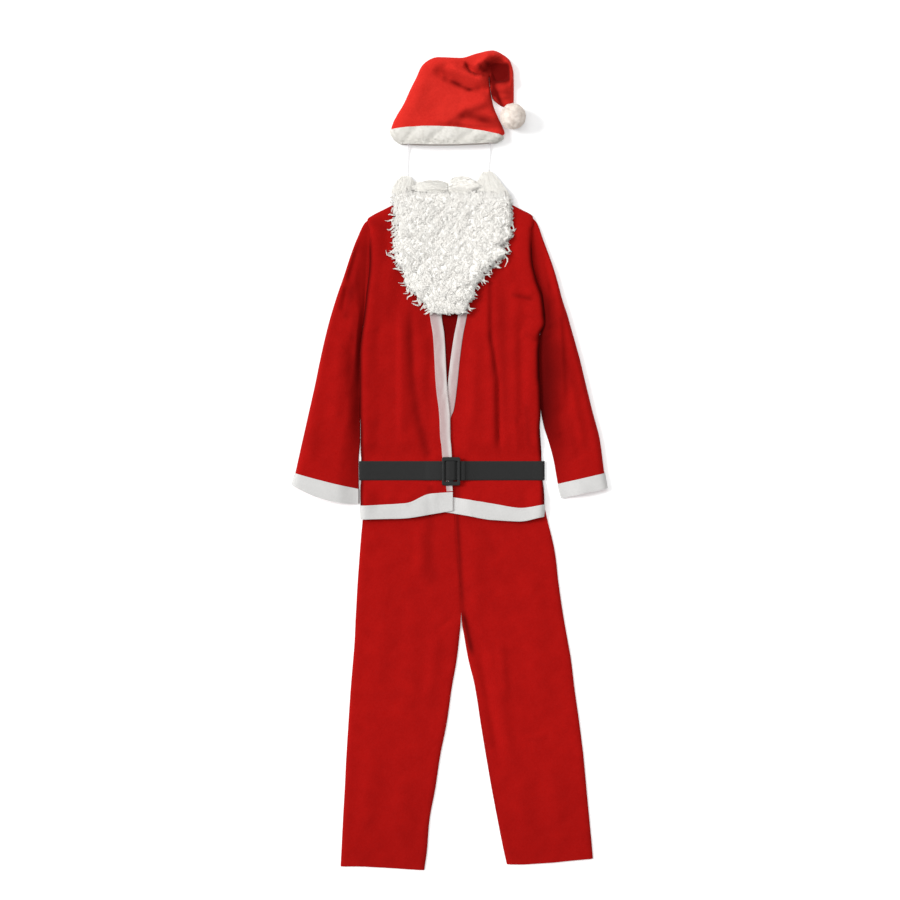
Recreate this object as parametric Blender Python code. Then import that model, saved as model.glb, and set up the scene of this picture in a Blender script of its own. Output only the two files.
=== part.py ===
"""Santa suit laid out flat: hat, beard, jacket, belt and trousers.

Blender works in metres; the tables below are in millimetres.  +X runs to the
wearer's left, +Y towards the hat and +Z up from the surface the suit lies on.
Every cloth piece is a closed wall between two grids of points, or a flattened
tube with an inner wall.  Each piece is laid on the ones below it.
"""

from typing import NamedTuple

import bmesh
import bpy
import numpy as np

MM = 0.001

# Cloth and gaps
FELT = 1.5          # red felt wall
TRIM = 1.2          # white felt bands
PLUSH = 3.0         # hat brim
SEAM = 0.3          # between pieces that are sewn together
LAY = 0.5           # between pieces that lie on each other
EDGE = 2 * FELT + LAY   # a tube pressed flat
HOLLOW = 0.4        # least room inside a tube

# Heights that the jacket back is lifted to
OVER_BELT = 2.2
OVER_TROUSERS = 5.3
NECK_LIFT = 1.7

# Every pair named _SLOPE below is where a change of height starts and where it is complete.

# Jacket fronts, above the back
PUFF = 7.0
PUFF_SLOPE = (32.0, 74.0)       # from the centre edge, which lies flat
FRONT_EDGE = 12.0               # radius of the rounded side edge
FRONT_TOP = 14.0                # and of the top edge
SIDE_RIDGE = 8.0
RIDGE_SLOPE = (46.0, 12.0)      # from the side edge
RIDGE_TOP_SLOPE = (615.0, 555.0)
HEM_PRESS = 0.6                 # how much of the side ridge the hem takes away
HEM_SLOPE = (-90.0, -140.0)
BEARD_PRESS = 0.62              # how much of the height the beard takes away
BEARD_PRESS_SLOPE = (340.0, 400.0)
BEARD_SIDE_SLOPE = (55.0, 85.0)
ARMHOLE_LIFT = 4.0
ARMHOLE_SLOPE = (-22.0, -2.0)   # above the underarm
ARMHOLE_TOP_SLOPE = (0.0, 10.0)
ARMHOLE_SIDE_SLOPE = (58.0, 36.0)
OVERLAP_LIFT = 4.0              # of the front that lies over the other
OVERLAP_SLOPE = (-54.0, -32.0)
OVERLAP_TOP_SLOPE = (262.0, 217.0)
NECK_SLOPE = (550.0, 580.0)
BAND_Y = (-150.0, -60.0, 10.0, 350.0, 660.0)        # where the centre bands are measured
BAND_RIGHT = (13.0, 16.0, 24.0, 29.0, 30.0)
BAND_LEFT = (24.0, 24.0, 27.0, 22.0, 28.0)
BAND_END = 0.02                 # share of the last row that parts the two bands
TRIM_COLUMNS = (3, 10)          # columns of the back that the neck band spans

# Belt and buckle
BELT_Y = -28.0
BELT_WIDTH = 48.0
WEBBING = 1.8
BUCKLE_X = 4.0
BUCKLE_Y = -29.5
BUCKLE_SIZE = (46.0, 71.0)
BUCKLE_WINDOW = (32.0, 55.0)
BUCKLE_BAR = (11.0, 1.8)
BUCKLE_DEPTH = 4.0
BUCKLE_CORNER = 5.0
WINDOW_CORNER = 2.0
BAR_CORNER = 0.8
BAR_OVERLAP = 6.0       # how much longer the bar is than the window
STRAP_MIDDLE = 14.2     # the webbing's centre line under the buckle
STRAP_REACH = 6.0       # beyond the buckle
STRAP_CLEAR = 0.8       # between the webbing and the window's sides
BAR_CLEAR = 0.6         # between the webbing and the bar's top
BAR_SPAN = 7.5          # half the webbing's run over the bar
WINDOW_RISE = (4.2, 2.4)    # along and up, where the webbing turns up to the bar
BELT_PRESS_SLOPE = (28.0, 74.0)     # from the belt's centre line

# Beard and pompom
BEARD_BACKING = 1.5
BEARD_LIFT = 12.6
TAB_LIFT = 0.5
BEARD_LIFT_SLOPE = (706.0, 628.0)
POMPOM_CENTRE = (158.0, 854.0, 31.6)
POMPOM_RADIUS = 31.0
POMPOM_CORE = 15.0
TAIL_WAY = (-0.31, 0.79, -0.53)     # from the pompom's centre to the hat's tip
TAIL_CONE = 0.80        # cosine of the cone round the tip that has no tufts
TUFT_SHORTER = 1.5      # shortest tuft against the longest
TUFT_LENGTHS = 3        # lengths between them
TUFT_SPREAD = 1.05      # a tuft's end against its root

ELASTIC_DIAMETER = 3.0
ELASTIC_POINTS = 54


class Row(NamedTuple):
    """A line across a piece, from its a edge to its b edge.

    bow_1 to bow_3 lift the line at a quarter, a half and three quarters.
    """
    a_x: float
    a_y: float
    b_x: float
    b_y: float
    bow_1: float = 0.0
    bow_2: float = 0.0
    bow_3: float = 0.0


class Station(NamedTuple):
    """A line across a flattened tube, its height off the surface and its fullness."""
    a_x: float
    a_y: float
    b_x: float
    b_y: float
    base: float
    full: float
    bow: float = 0.0


class Level(NamedTuple):
    """The height that a piece lies at, at one place along it."""
    along: float
    height: float


class Fold(NamedTuple):
    """A ridge (height above 0) or crease (below 0) from one point to another.

    lean above 0 makes the side to the right of the direction of travel steeper.
    """
    x0: float
    y0: float
    x1: float
    y1: float
    width: float
    height: float
    lean: float = 0.0


# ---------------------------------------------------------------- jacket tables
# Side edge (a) to centre edge (b), from the shoulder to the hem.
FRONT_RIGHT_ROWS = (
    Row(-198, 603, -91, 656),
    Row(-196, 560, -62, 612),
    Row(-196, 500, -40, 550),
    Row(-204, 414, -26, 430),
    Row(-211, 352, -19, 352),
    Row(-217, 312, -13, 312),
    Row(-221, 260, -9, 260),
    Row(-221, 179, -4, 179),
    Row(-221, 106, 5, 106),
    Row(-221, 30, 5, 30),
    Row(-221, 0, 6, 0),
    Row(-222, -53, 7, -53),
    Row(-222, -60, 7, -60),
    Row(-221, -115, 8, -81, -6, -10, 3.5),
    Row(-220, -150, 8, -128, -4, -7.5, -4),
)
FRONT_LEFT_ROWS = (
    Row(199, 611, 91, 656),
    Row(199, 560, 70, 610),
    Row(201, 500, 49, 545),
    Row(212, 448, 34, 448),
    Row(227, 400, 27, 400),
    Row(231, 352, 20, 352),
    Row(220, 312, 12, 312),
    Row(219, 260, 4, 260),
    Row(221, 179, -6, 179),
    Row(223, 111, -24, 111),
    Row(228, 30, -24, 30),
    Row(230, 0, -24, 0),
    Row(233, -53, -22, -53),
    Row(234, -60, -22, -60),
    Row(236, -112, -21, -90, -14, -9, -4),
    Row(234, -143, -20, -130, -15, -14.5, -7),
)
BACK_ROWS = (
    Row(-198, 603, 199, 611, 50, 43, 47),
    Row(-196, 585, 199, 587, 40, 32, 40),
    Row(-196, 545, 199, 545, 20, 16, 20),
    Row(-196, 500, 201, 500),
    Row(-205, 405, 226, 405),
    Row(-211, 352, 231, 352),
    Row(-217, 312, 220, 312),
    Row(-221, 260, 219, 260),
    Row(-221, 179, 221, 179),
    Row(-221, 106, 223, 111),
    Row(-221, 30, 228, 30),
    Row(-221, 0, 230, 0),
    Row(-222, -53, 233, -53),
    Row(-222, -60, 234, -60),
    Row(-221, -112, 235, -106, 2.5, 18, -6.5),
    Row(-220, -147, 234, -141, 2.5, 18, -6.5),
)
BACK_LEVELS = (
    Level(-150.0, OVER_TROUSERS),
    Level(-60.0, OVER_TROUSERS),
    Level(-53.0, OVER_BELT),
    Level(0.0, OVER_BELT),
    Level(30.0, 0.0),
    Level(588.0, 0.0),
    Level(617.0, NECK_LIFT),
    Level(660.0, NECK_LIFT),
)
UNDERARM_RIGHT = 345.0
UNDERARM_LEFT = 372.0
BACK_STEPS = (1, 1, 1, 2, 1, 1, 1, 1, 1, 1, 1, 1, 1, 1, 1)
FRONT_RIGHT_STEPS = (2, 2, 2, 2, 1, 1, 2, 2, 2, 1, 1, 1, 1, 1)
FRONT_LEFT_STEPS = (2, 2, 2, 1, 2, 1, 2, 2, 2, 2, 1, 1, 1, 1, 1)
BACK_WIDTH_COLUMNS = 13
SIDE_COLUMNS = (0.0, 0.022, 0.06, 0.12, 0.2, 0.3, 0.4, 0.5, 0.6, 0.7, 0.8, 0.9, 1.0)

FRONT_RIGHT_FOLDS = (
    Fold(-122, 410, -121, 20, 15, 6.0, 0.5),
    Fold(-90, 390, -92, 60, 15, -4.5),
    Fold(-60, 330, -55, 40, 14, 3.0),
    Fold(-150, 520, -170, 330, 16, 3.4),
    Fold(-75, -66, -120, -112, 13, 3.0),
)
FRONT_LEFT_FOLDS = (
    Fold(103, 490, 104, 287, 8, -7.0),
    Fold(104, 300, 123, 225, 8, -7.0),
    Fold(122, 250, 125, 0, 8, -7.5),
    Fold(90, 480, 108, 200, 12, 5.0),
    Fold(108, 230, 109, 10, 12, 5.0),
    Fold(142, 420, 141, 30, 12, 5.4),
    Fold(171, 100, 172, -10, 10, 4.0),
    Fold(152, 436, 214, 410, 9, 3.6),
    Fold(178, 318, 216, 300, 9, 3.4),
    Fold(60, 330, 58, 60, 14, 3.0),
)

# Body side (a) to outer side (b), from the armhole to the cuff.
SLEEVE_RIGHT_STATIONS = (
    Station(-186, 364, -188, 571, 1.9, 0.0),
    Station(-212.6, 354, -199.6, 586, 1.9, 0.0),
    Station(-214.4, 347, -200.8, 600, 1.6, 0.0),
    Station(-215.8, 340, -211, 593, 1.0, 0.15),
    Station(-218, 326, -230, 556, 0.3, 0.45),
    Station(-221.6, 290, -247, 512, 0.0, 0.85),
    Station(-223.2, 245, -264, 460, 0.0, 1.0),
    Station(-223.2, 195, -284, 402, 0.0, 1.0),
    Station(-223.2, 145, -304, 334, 0.0, 1.0),
    Station(-223.2, 100, -321, 262, 0.0, 1.0),
    Station(-223.2, 50, -338, 180, 0.0, 1.0),
    Station(-227, 0, -355, 98, 0.0, 1.0),
    Station(-227.2, -34, -370, 20, 0.4, 0.95),
    Station(-226.4, -74, -382, -34, 2.2, 0.85, -2),
    Station(-226.2, -110, -394.5, -63, 2.2, 0.75, -14),
)
SLEEVE_LEFT_STATIONS = (
    Station(206, 390, 189, 573, 1.9, 0.0),
    Station(232.6, 380, 200.4, 592, 1.9, 0.0),
    Station(234.4, 371, 201.6, 607, 1.6, 0.0),
    Station(235.6, 361, 216, 596, 1.1, 0.1),
    Station(235.6, 348, 236, 546, 0.5, 0.4),
    Station(232.4, 332, 262, 474, 0.1, 0.8),
    Station(226.6, 314, 274, 432, 0.0, 0.9),
    Station(222.4, 290, 283, 398, 0.0, 1.0),
    Station(221.8, 250, 293, 362, 0.0, 1.0),
    Station(222.8, 205, 303, 325, 0.0, 1.0),
    Station(224.4, 162, 312, 290, 0.0, 1.0),
    Station(228, 125, 321, 256, 0.0, 1.0),
    Station(237, 80, 335, 200, 0.0, 1.0),
    Station(249, 42, 354, 122, 0.0, 1.0),
    Station(261, -4, 373, 48, 0.4, 0.95),
    Station(271, -61, 385, -34, 2.2, 0.85),
    Station(280, -97, 394.5, -72, 2.2, 0.8),
)
SLEEVE_FULLNESS = 15.0
CUFF_GAP = 0.9
SLEEVE_SLOPE = (0.0, 58.0)      # the valley beside the body
SLEEVE_EDGE = 17.0              # radius of the outer edge
SLEEVE_RIGHT_FOLDS = (
    Fold(-226, 540, -254, 430, 9, -7.0),
    Fold(-254, 440, -268, 360, 9, -6.0),
    Fold(-240, 330, -244, 120, 14, -6.0),
    Fold(-252, 560, -300, 400, 11, 3.6),
    Fold(-272, 320, -285, 60, 18, 3.6),
    Fold(-330, 120, -350, -20, 16, 3.0),
)
SLEEVE_LEFT_FOLDS = (
    Fold(228, 545, 262, 400, 10, -7.0),
    Fold(250, 420, 252, 150, 15, -7.0),
    Fold(272, 400, 287, 120, 8, 4.4),
    Fold(291, 250, 338, 0, 13, 4.6),
    Fold(268, 140, 296, 0, 13, -5.0),
)

# --------------------------------------------------------------- trouser tables
# Outer edge (a) to inner edge (b): the centre seam, then the inside leg.
TROUSER_RIGHT_ROWS = (
    Row(-214, -93.3, 11, -93.3),
    Row(-219, -160, 13, -160),
    Row(-226, -240, 20, -240),
    Row(-231, -310, 26, -310),
    Row(-233, -380, 29, -381),
    Row(-236, -446, 24, -441),
    Row(-240, -500, 18, -495),
    Row(-246, -570, 5, -570),
    Row(-252, -660, -8, -660),
    Row(-257, -740, -24, -740),
    Row(-261, -820, -36, -820),
    Row(-266, -910, -52, -910),
    Row(-269, -970, -57, -975),
    Row(-271.5, -1013, -64, -1024, -1, -2, -2),
)
TROUSER_LEFT_ROWS = (
    Row(232, -93.3, 11.4, -93.3),
    Row(245, -160, 13.4, -160),
    Row(263, -240, 20.4, -240),
    Row(272, -310, 26.4, -310),
    Row(282, -380, 31, -379),
    Row(292, -446, 37, -432),
    Row(301, -500, 47, -495),
    Row(309, -570, 64, -565),
    Row(321, -660, 79, -660),
    Row(331, -740, 93, -745),
    Row(339, -820, 106, -820),
    Row(347, -910, 124, -915),
    Row(352, -960, 135, -970),
    Row(355.5, -994, 144.5, -1010, -1, -3, -3),
)
CROTCH_SLOPE = (-421.0, -381.0)     # the inside leg is rounded below it
TROUSER_PUFF = 4.6
LEG_EDGE = 14.0                     # radius of the side and the inside leg
LEG_SLOPE = (-150.0, -210.0)        # below the jacket's hem
EDGE_WALL = 0.3                     # how much thicker the cloth is at its side seam
TROUSER_RIGHT_FOLDS = (
    Fold(-36, -150, -62, -310, 14, 4.6, 0.4),
    Fold(-80, -330, -110, -700, 26, 3.4),
    Fold(-160, -200, -180, -620, 30, 3.0),
    Fold(-25, -400, -60, -640, 16, 3.4),
    Fold(-190, -700, -215, -960, 24, 3.2),
    Fold(-110, -760, -130, -990, 26, 3.2),
)
TROUSER_LEFT_FOLDS = (
    Fold(126, -440, 140, -610, 12, 4.2),
    Fold(60, -160, 70, -420, 20, 3.2),
    Fold(70, -440, 130, -780, 13, -4.2),
    Fold(95, -430, 160, -800, 17, 3.6),
    Fold(200, -240, 235, -640, 28, 3.2),
    Fold(176, -697, 250, -692, 7, 2.2),
    Fold(250, -720, 280, -960, 24, 3.2),
    Fold(175, -760, 200, -980, 24, 3.0),
)
TROUSER_COLUMNS = (0.0, 0.03, 0.1, 0.22, 0.38, 0.54, 0.7, 0.84, 0.95, 1.0)
BACK_COLUMNS = (0.0, 0.25, 0.5, 0.75, 1.0)
WAIST_PRESS = 0.2
WAISTBAND_STATIONS = (
    Station(-213, -58, 230, -58, 0.0, 0.0),
    Station(-213.5, -93, 231.5, -93, 0.0, 0.0),
)

# ------------------------------------------------------------------ belt tables
# The webbing's centre line: right of the buckle, left of it, and back below the jacket.
BELT_RIGHT = (
    Level(-225.4, 3.2),
    Level(-224.6, 6.2),
    Level(-221.5, 7.6),
    Level(-212.0, 7.6),
    Level(-196.0, 6.9),
    Level(-150.0, 6.7),
    Level(-100.0, 7.0),
    Level(-64.0, 8.2),
    Level(-48.0, 11.6),
    Level(-34.0, 13.4),
)
BELT_LEFT = (
    Level(50.0, 10.0),
    Level(75.0, 7.8),
    Level(110.0, 6.9),
    Level(160.0, 6.7),
    Level(206.0, 6.9),
    Level(222.0, 7.6),
    Level(232.0, 7.6),
    Level(236.4, 6.0),
    Level(237.2, 3.2),
)
BELT_UNDER = (
    Level(235.4, 0.9),
    Level(180.0, 0.9),
    Level(60.0, 0.9),
    Level(-60.0, 0.9),
    Level(-170.0, 0.9),
    Level(-223.6, 0.9),
)

# ------------------------------------------------------------------- hat tables
# Outer contour (a) to inner contour (b), from the mouth to the hanging tip.
HAT_STATIONS = (
    Station(-128, 795, 117, 796, 3.4, 0.8),
    Station(-140, 812, 125, 803, 3.4, 0.9),
    Station(-142.5, 826, 135.5, 816, 3.4, 1.0),
    Station(-138.5, 841, 129, 832, 3.4, 1.0, 3),
    Station(-132, 858, 120, 855, 0.0, 1.0),
    Station(-114, 891, 111, 881, 0.0, 1.0),
    Station(-99, 924, 105.5, 904, 0.0, 1.0),
    Station(-84, 954, 101.8, 924, 0.0, 1.0),
    Station(-66, 989, 100, 936, 0.0, 1.0),
    Station(-30, 1007, 99.4, 944, 0.0, 1.0),
    Station(26, 1005, 99, 951, 0.0, 1.0),
    Station(71, 1017, 99.3, 956, 0.0, 1.0),
    Station(108, 1024, 100.8, 956, 0.0, 1.0),
    Station(134, 1013, 101.2, 952, 0.0, 1.0),
    Station(152, 996, 101, 946, 0.0, 1.0),
    Station(160, 968, 101.6, 937, 0.0, 1.0),
    Station(161, 936, 103.6, 922, 0.0, 1.0),
    Station(161, 908, 108, 903, 0.0, 0.9),
    Station(160, 889, 127, 885, 1.5, 0.7),
    Station(158.5, 880, 139, 878.5, 7.0, 0.3),
    Station(158.5, 867, 147.5, 867, 21.5, 0.0),
)
HAT_FULLNESS = 17.0
HAT_SIDE = (36.0, 26.0)     # radii of the two rounded sides: contour a, contour b
HAT_EDGE = (7.0, 9.0)       # and of the pressed edges beside them
HAT_SEAM = (2.0, 1.0)       # least distance to contour b that each of them takes
MOUTH_LIFT = 3.4            # the cone's height above the floor inside the brim
BRIM_OUT = 3.6              # how far the brim stands out beside the cone
BRIM_LIFT = 2.0             # and above it
HAT_FOLDS = (
    Fold(-44, 975, 56, 924, 12, -12.0),
    Fold(32, 930, 108, 921, 11, -11.0),
    Fold(-14, 984, 100, 938, 12, 9.0),
    Fold(34, 985, 80, 957, 8, -9.0),
    Fold(-60, 985, 96, 1014, 14, 5.0),
    Fold(108, 1024, 62, 966, 11, 12.0),
    Fold(100, 1018, 156, 985, 8, 9.0),
    Fold(152, 1000, 157, 926, 7, 12.0),
    Fold(96, 1002, 132, 934, 24, -22.0),
    Fold(124, 1008, 140, 940, 16, -16.0),
    Fold(134, 934, 140, 896, 14, 4.0),
    Fold(15, 852, 118, 838, 13, -6.0),
    Fold(20, 870, 105, 895, 16, 4.0),
    Fold(-95, 860, -60, 960, 20, 3.5),
)
BRIM_STATIONS = (
    Station(-125, 788, 118, 791, 0.0, 0.0, -4),
    Station(-141.5, 802, 130.5, 797.5, 0.0, 0.0, 0),
    Station(-147.5, 816, 134.5, 803, 0.0, 0.0, 8),
    Station(-147.5, 827, 134.5, 808.5, 0.0, 0.0, 16.5),
)

# ----------------------------------------------------------------- beard tables
HAIR_ROWS = (
    Row(-143, 663.6, 146, 663.6),
    Row(-140, 640, 151, 640),
    Row(-136, 610, 154, 612),
    Row(-142, 580, 153, 582),
    Row(-139, 557, 154, 557),
    Row(-140, 532, 128, 534),
    Row(-138, 515, 143, 515),
    Row(-136, 499, 116, 499),
    Row(-114, 479, 104, 481),
    Row(-107, 454, 82, 456),
    Row(-112, 430, 65, 434),
    Row(-83, 408, 60, 410),
    Row(-57, 392, 45, 393),
    Row(-50, 366, 40, 366),
)
HAIR_COLUMNS = 16
HAIR_DEPTH = 20.0
HAIR_THIN = 3.0             # depth at the very edge
HAIR_ROUND = 40.0           # radius of the rounded edge
EDGE_TUFT = 3.5             # how far the tufts stand out at the sides
EDGE_TUFT_TURN = (2.4, 1.0)     # angle from one tuft to the next, and of the first
POINT_TUFT = 6.0            # and at the point
POINT_TUFT_TURN = 5.0
POINT_SLOPE = (430.0, 370.0)
POINT_ROUND = (4.0, 0.8)    # least edge distance, and its growth up from the point
LUMPS = ((104.0, 0.4, 0.16), (61.0, 2.1, 0.112))    # size, seed and share of the depth
BACKING_STEPS = (2, 2, 1, 1, 1)
BACKING_COLUMNS = 8
BACKING_ROWS = (
    Row(-100, 697, 76, 699, -3, -4, -3),
    Row(-120, 668, 122, 668),
    Row(-122, 580, 130, 580),
    Row(-118, 510, 108, 510),
    Row(-86, 450, 66, 450),
    Row(-44, 392, 34, 392),
)
TAB_RIGHT_ROWS = (
    Row(-144.5, 664.5, -96, 664.5),
    Row(-142, 677, -90.5, 681),
    Row(-134, 693, -89, 695),
    Row(-121, 709, -98, 709),
)
TAB_LEFT_ROWS = (
    Row(148, 664.5, 70, 664.5),
    Row(134, 684, 70, 686),
    Row(119, 705, 75, 706),
    Row(105, 721, 85, 721),
)
TAB_DEPTH = 9.0
TAB_STEPS = (1, 1, 2)
TAB_COLUMNS = 6
MOUSTACHE_RIGHT_ROWS = (
    Row(-5, 689, -5, 666),
    Row(-20, 696, -20, 664.5),
    Row(-45, 697.5, -45, 664.5),
    Row(-70, 693, -70, 666),
    Row(-86, 686, -87, 673),
)
MOUSTACHE_LEFT_ROWS = (
    Row(-3, 695, -3, 666),
    Row(12, 705, 12, 664.5),
    Row(34, 707, 34, 664.5),
    Row(52, 702, 52, 666),
    Row(66, 691, 67, 675),
)
MOUSTACHE_DEPTH = 17.0
MOUSTACHE_STEPS = (2, 2, 2, 1)
MOUSTACHE_COLUMNS = 7
PAD_EDGE = 0.06         # share of a pad's width that its edges keep
PAD_ROUND = 0.6         # power of its rounded section: lower is fuller
PAD_TAPER = 0.55        # how much lower its last row is
PAD_THIN = 2.0

ELASTIC_ROUTE = (
    (-106.0, 709.8, 2.4),
    (-105.0, 728.0, 1.7),
    (-104.0, 750.0, 1.7),
    (-103.5, 768.0, 2.6),
    (-103.0, 784.0, 5.2),
    (-102.0, 800.0, 7.0),
    (-98.0, 822.0, 7.2),
    (-84.0, 846.0, 6.6),
    (-58.0, 862.0, 5.2),
    (-22.0, 868.0, 4.6),
    (18.0, 868.0, 4.6),
    (56.0, 862.0, 5.2),
    (82.0, 847.0, 6.6),
    (96.0, 824.0, 7.2),
    (100.0, 802.0, 7.0),
    (101.0, 786.0, 5.2),
    (101.0, 770.0, 2.6),
    (100.0, 754.0, 1.7),
    (98.0, 736.0, 1.7),
    (96.0, 721.8, 2.4),
)

# Places across a flattened tube, edge a to edge b along the top and back below.
TUBE_TOP = (0.0, 0.05, 0.13, 0.24, 0.36, 0.48, 0.6, 0.72, 0.84, 0.94, 1.0)
TUBE_BOTTOM = (0.8, 0.5, 0.2)

CREASE_ANGLE = 50.0     # edges sharper than this stay sharp
RED = (0.42, 0.010, 0.008, 1.0)
HAT_RED = (0.60, 0.03, 0.02, 1.0)
WHITE = (0.72, 0.70, 0.67, 1.0)
FUR = (0.80, 0.78, 0.74, 1.0)
BLACK = (0.03, 0.03, 0.032, 1.0)


# ------------------------------------------------------------------ small maths
def ease(t):
    """Rises smoothly from 0 to 1 as t does."""
    t = np.clip(t, 0.0, 1.0)
    return t * t * (3.0 - 2.0 * t)


def climb(value, slope):
    """Rises smoothly from 0 at a slope's start to 1 at its end."""
    start, end = slope
    return ease((value - start) / (end - start))


def quarter_round(distance, radius):
    """The height of a quarter circle over its own radius, 0 at the edge."""
    t = np.clip(distance / radius, 0.0, 1.0)
    return np.sqrt(np.maximum(0.0, 1.0 - (1.0 - t) ** 2))


def smooth_line(knots, values, at):
    """A smooth curve through (knots, values) that never swings past them."""
    knots = np.asarray(knots, float)
    values = np.asarray(values, float)
    step = np.diff(knots)
    slope = np.diff(values) / step
    tangent = np.zeros(len(knots))
    before, after = slope[:-1], slope[1:]
    same = before * after > 0
    total = np.where(same, before + after, 1.0)
    tangent[1:-1] = np.where(same, 2.0 * before * after / total, 0.0)
    tangent[0], tangent[-1] = slope[0], slope[-1]
    i = np.clip(np.searchsorted(knots, at, side="right") - 1, 0, len(step) - 1)
    t = (at - knots[i]) / step[i]
    rise = 3 * t**2 - 2 * t**3
    return (values[i] * (1 - rise) + values[i + 1] * rise
            + step[i] * (t**3 - 2 * t**2 + t) * tangent[i]
            + step[i] * (t**3 - t**2) * tangent[i + 1])


def unevenness(x, y, size, seed=0.0):
    """Smooth lumps between about -1 and 1, size across."""
    a, b = x / size, y / size
    return (np.sin(5.1 * a + 2.3 * np.sin(3.1 * b + seed) + seed)
            + np.sin(4.3 * b + 2.1 * np.sin(3.7 * a - seed) + 1.7 * seed)) * 0.5


def fold_height(x, y, folds):
    """The sum of the folds' heights at x, y, each tapering to its ends."""
    total = np.zeros_like(x)
    for fold in folds:
        along = np.array((fold.x1 - fold.x0, fold.y1 - fold.y0))
        length = np.hypot(*along)
        along = along / length
        dx, dy = x - fold.x0, y - fold.y0
        run = (dx * along[0] + dy * along[1]) / length
        off = dx * along[1] - dy * along[0]
        width = fold.width * np.where(off > 0, 1.0 - fold.lean, 1.0 + fold.lean)
        taper = ease(run * 4.0) * ease((1.0 - run) * 4.0)
        total += fold.height * taper * np.exp(-(off / width) ** 2)
    return total


def belt_press(y):
    """0 under the belt, where the cloth is pulled flat, and 1 clear of it."""
    return climb(np.abs(y - BELT_Y), BELT_PRESS_SLOPE)


# ------------------------------------------------------------------ point grids
def places_down(count, steps):
    """Even places along a table's rows, steps of them between each two rows."""
    runs = [np.linspace(i, i + 1, steps[i], endpoint=False) for i in range(count - 1)]
    return np.concatenate(runs + [[count - 1.0]])


def row_grid(rows, steps, columns, straight_bow=False):
    """x and y of a panel's grid: its rows down, columns from edge a to edge b.

    columns is one list of places from 0 to 1, or one list for each grid row.
    """
    table = np.array(rows)
    middle = (table[:, 0:2] + table[:, 2:4]) / 2
    walk = np.hypot(*np.diff(middle, axis=0).T)
    knots = np.concatenate([[0.0], np.cumsum(walk)])
    at = np.interp(places_down(len(rows), steps), np.arange(len(rows)), knots)
    values = [smooth_line(knots, table[:, k], at) for k in range(7)]
    a_x, a_y, b_x, b_y = (v[:, None] for v in values[:4])
    u = np.broadcast_to(np.asarray(columns, float), (len(at), np.shape(columns)[-1]))
    bow_knots = np.array((0.0, 0.25, 0.5, 0.75, 1.0))
    bows = np.zeros_like(u)
    for r in range(len(at)):
        bow = np.array((0.0, values[4][r], values[5][r], values[6][r], 0.0))
        if straight_bow:
            bows[r] = np.interp(u[r], bow_knots, bow)
        else:
            bows[r] = smooth_line(bow_knots, bow, u[r])
    return a_x + (b_x - a_x) * u, a_y + (b_y - a_y) * u + bows, u


def raised(grid, distance):
    """The grid moved out along its own normals by distance."""
    down = np.gradient(grid, axis=0)
    across = np.gradient(grid, axis=1)
    normal = np.cross(across, down)
    normal *= np.sign(normal[..., 2:3].sum()) or 1.0
    normal /= np.linalg.norm(normal, axis=2, keepdims=True)
    return grid + normal * distance


def stack(x, y, z):
    """x, y and z grids as one grid of points."""
    return np.stack(np.broadcast_arrays(x, y, z), axis=-1)


# -------------------------------------------------------------------- mesh work
def add_object(name, points, faces, colour, roughness=0.9):
    """A closed mesh from points in millimetres, its faces turned outwards."""
    mesh = bpy.data.meshes.new(name)
    mesh.from_pydata([tuple(p) for p in np.asarray(points) * MM], [], faces)
    shape = bmesh.new()
    shape.from_mesh(mesh)
    if shape.calc_volume(signed=True) < 0:
        bmesh.ops.reverse_faces(shape, faces=shape.faces)
    shape.to_mesh(mesh)
    shape.free()
    mesh.shade_smooth()
    mesh.set_sharp_from_angle(angle=np.radians(CREASE_ANGLE))
    mesh.materials.append(finish(colour, roughness))
    made = bpy.data.objects.new(name, mesh)
    bpy.context.scene.collection.objects.link(made)
    return made


def finish(colour, roughness):
    """A plain material of one colour, shared by the pieces that have it."""
    name = "finish_%02d_%02d_%02d" % tuple(round(99 * c) for c in colour[:3])
    made = bpy.data.materials.get(name)
    if made is None:
        made = bpy.data.materials.new(name)
        made.use_nodes = True
        shader = made.node_tree.nodes["Principled BSDF"]
        shader.inputs["Base Color"].default_value = colour
        shader.inputs["Roughness"].default_value = roughness
        shader.inputs["Metallic"].default_value = 0.0
    return made


def two_triangles(a, b, c, d):
    """The four-cornered face a b c d as two triangles."""
    return [(a, b, c), (a, c, d)]


def slab(name, lower, upper, colour):
    """A closed wall between two grids of the same shape."""
    rows, columns = lower.shape[:2]
    size = rows * columns
    number = np.arange(size).reshape(rows, columns)
    faces = []
    for r in range(rows - 1):
        for c in range(columns - 1):
            a, b = number[r, c], number[r, c + 1]
            d, e = number[r + 1, c], number[r + 1, c + 1]
            faces += two_triangles(a, b, e, d)
            faces += [(f[2] + size, f[1] + size, f[0] + size)
                      for f in two_triangles(a, b, e, d)]
    rim = list(number[0, :-1]) + list(number[:-1, -1])
    rim += list(number[-1, :0:-1]) + list(number[:0:-1, 0])
    for here, after in zip(rim, rim[1:] + rim[:1]):
        faces += two_triangles(here, here + size, after + size, after)
    points = np.concatenate([lower.reshape(-1, 3), upper.reshape(-1, 3)])
    return add_object(name, points, faces, colour)


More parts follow.
